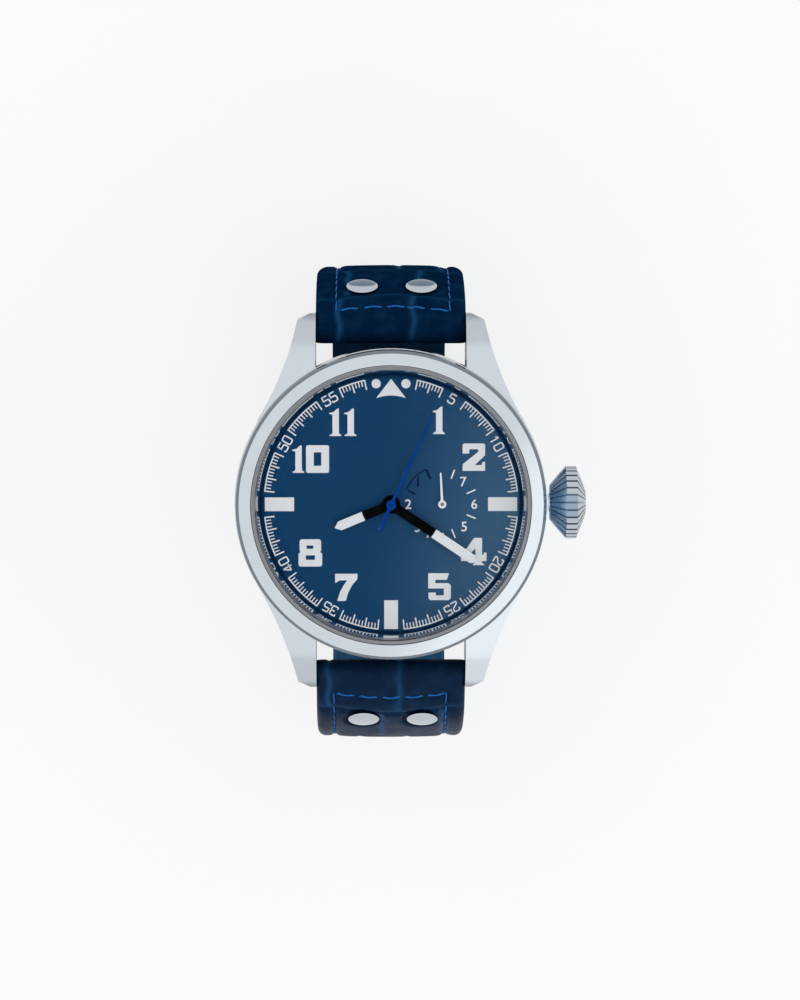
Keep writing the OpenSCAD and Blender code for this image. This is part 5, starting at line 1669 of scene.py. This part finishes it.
# Places along a keeper, as shares of half its length
KEEPER_STEPS = (-1.0, -0.97, -0.9, -0.82, -0.7, -0.4, 0, 0.4, 0.7, 0.82, 0.9, 0.97, 1.0)
FIXED_Y = 7.6
FIXED_LOW, FIXED_HIGH = -42.9, -35.2
# The free keeper rides on the bend about this centre, at this angle from straight down
BEND_Y, BEND_Z = 13.342, -20.850
FREE_A = 3.5
FREE_LOW, FREE_HIGH = 14.3, 22.1
FREE_MIDDLE_R = 21.5


def keeper_section():
    """The leather's section: along the strap, and out from the middle of its wall."""
    section = []
    for side in (1, -1):
        for share in KEEPER_STEPS:
            part = abs(share)
            past = max(0, (part - KEEPER_EDGE_FROM) / KEEPER_EDGE)
            swell = KEEPER_WALL / 2 * (1 - past ** 2 * KEEPER_EDGE_THINS)
            groove = 0
            if side > 0:
                groove = KEEPER_GROOVE * channel(part - KEEPER_GROOVE_AT, KEEPER_GROOVE_REACH)
            section.append((side * KEEPER_LONG * share, side * (swell - groove)))
    return section


def keeper(name, node_name, body, low, high, to_space):
    """A leather loop: a rounded frame in the plane across the strap, swept along it."""
    inner = KEEPER_WALL / 2
    corners = [
        (-KEEPER_HALF, low + inner), (KEEPER_HALF, low + inner),
        (KEEPER_HALF, high - inner), (-KEEPER_HALF, high - inner),
    ]
    outline = rounded(corners, KEEPER_CORNER, True, 5)
    dense = []
    for i, a in enumerate(outline):
        b = outline[(i + 1) % len(outline)]
        parts = max(1, round(math.dist(a, b) / KEEPER_STEP))
        for k in range(parts):
            dense.append((a[0] + (b[0] - a[0]) * k / parts, a[1] + (b[1] - a[1]) * k / parts))
    bm = bmesh.new()
    rings = []
    for i, (x, r) in enumerate(dense):
        before, after = dense[i - 1], dense[(i + 1) % len(dense)]
        along = Vector((after[0] - before[0], after[1] - before[1])).normalized()
        rings.append([
            bm.verts.new(to_space(x + along.y * out, r - along.x * out, t))
            for t, out in keeper_section()
        ])
    join_rings(bm, rings)
    made = piece(name, clean_mesh(bm, name), "strap_leather", body, smooth=True)
    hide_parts(node_name)


def keepers():
    """The fixed keeper beside the buckle and the free one further up the strap."""
    keeper("fixed_loop", "fixed_keeper", "watch", FIXED_LOW, FIXED_HIGH,
           lambda x, r, t: (x, FIXED_Y + t, r))

    def round_bend(x, r, t):
        a = math.radians(FREE_A - 90) + t / FREE_MIDDLE_R
        return x, BEND_Y + r * math.cos(a), BEND_Z + r * math.sin(a)

    keeper("free_loop", "free_keeper", "free_keeper", FREE_LOW, FREE_HIGH, round_bend)


# Studio

# Name, place in metres, size in metres and power of each lamp
LAMPS = (
    ("overhead", (0.1, -0.1, 1.3), 2.5, 4.5),
    ("side", (1.15, -0.15, 0.75), 0.8, 2.2),
    ("front", (0.1, -0.95, 0.3), 0.5, 1.2),
)
CAMERA_AT = (-4.0, 56.6, 506.4)
AIM_Z = 9.6
FLOOR_GAP = 0.1
FLOOR_HALF = 3000
GLOW_SHARE = 0.8


def surround():
    """A white world; it lights the watch a little more brightly than it shows."""
    world = bpy.data.worlds.new("Studio")
    world.use_nodes = True
    bpy.context.scene.world = world
    graph = Graph(world.node_tree)
    base = graph.tree.nodes["Background"]
    graph.feed(base.inputs["Color"], WHITE)
    graph.feed(base.inputs["Strength"], 1.1)
    seen = graph.node("ShaderNodeBackground", {"Color": WHITE, "Strength": 1.0})
    mix = graph.layered(graph.direct_rays(), base.outputs[0], seen.outputs[0])
    graph.feed(graph.tree.nodes["World Output"].inputs["Surface"], mix)


def studio_floor():
    """A pale floor that keeps the watch's shadow, and isn't there when seen from below."""
    finish = Finish(
        "Floor", Base_Color=(0.93, 0.93, 0.935), Roughness=0.9, Specular_IOR_Level=0.1
    )
    glow = finish.node("ShaderNodeEmission", {"Color": (0.895, 0.9, 0.907), "Strength": 1.0})
    share = finish.maths("MULTIPLY", finish.direct_rays(), GLOW_SHARE)
    pale = finish.layered(share, finish.shader.outputs[0], glow.outputs[0])
    below = finish.node("ShaderNodeNewGeometry").outputs["Backfacing"]
    clear = finish.node("ShaderNodeBsdfTransparent").outputs[0]
    finish.surface(finish.layered(below, pale, clear))
    bm = bmesh.new()
    bmesh.ops.create_grid(bm, x_segments=1, y_segments=1, size=FLOOR_HALF * MM)
    floor = add_object("floor", plain_mesh(bm, "floor"))
    floor.location.z = (FLOOR_Z - FLOOR_GAP) * MM
    floor.data.materials.append(finish.made)


def lamps():
    """Three soft lamps; only the overhead one shows in the steel."""
    for name, place, size, power in LAMPS:
        lamp = bpy.data.lights.new(name, "AREA")
        lamp.size = size
        lamp.energy = power
        holder = add_object(name, lamp)
        holder.location = place
        holder.rotation_euler = (-Vector(place)).to_track_quat("-Z", "Y").to_euler()
        holder.visible_glossy = name == "overhead"


def camera():
    """The camera at the photograph's angle, upright along the Y axis."""
    lens = bpy.data.cameras.new("Camera")
    lens.sensor_fit = "VERTICAL"
    lens.sensor_width = 36
    lens.sensor_height = 36
    lens.lens = 121.9
    lens.shift_x = 0.009
    lens.shift_y = 0.00365
    lens.clip_start = 0.01
    holder = add_object("Camera", lens)
    holder.location = Vector(CAMERA_AT) * MM
    back = (holder.location - Vector((0, 0, AIM_Z)) * MM).normalized()
    right = Vector((0, 1, 0)).cross(back).normalized()
    turn = Matrix((right, back.cross(right), back)).transposed()
    holder.rotation_euler = turn.to_euler()
    bpy.context.scene.camera = holder


bpy.context.scene.view_settings.view_transform = "Standard"
surround()
studio_floor()
lamps()
camera()
dress_frame()
minute_track()
minute_numbers()
small_dial()
hour_numerals()
inner_ring()
strap()
stitching()
rivets()
keepers()
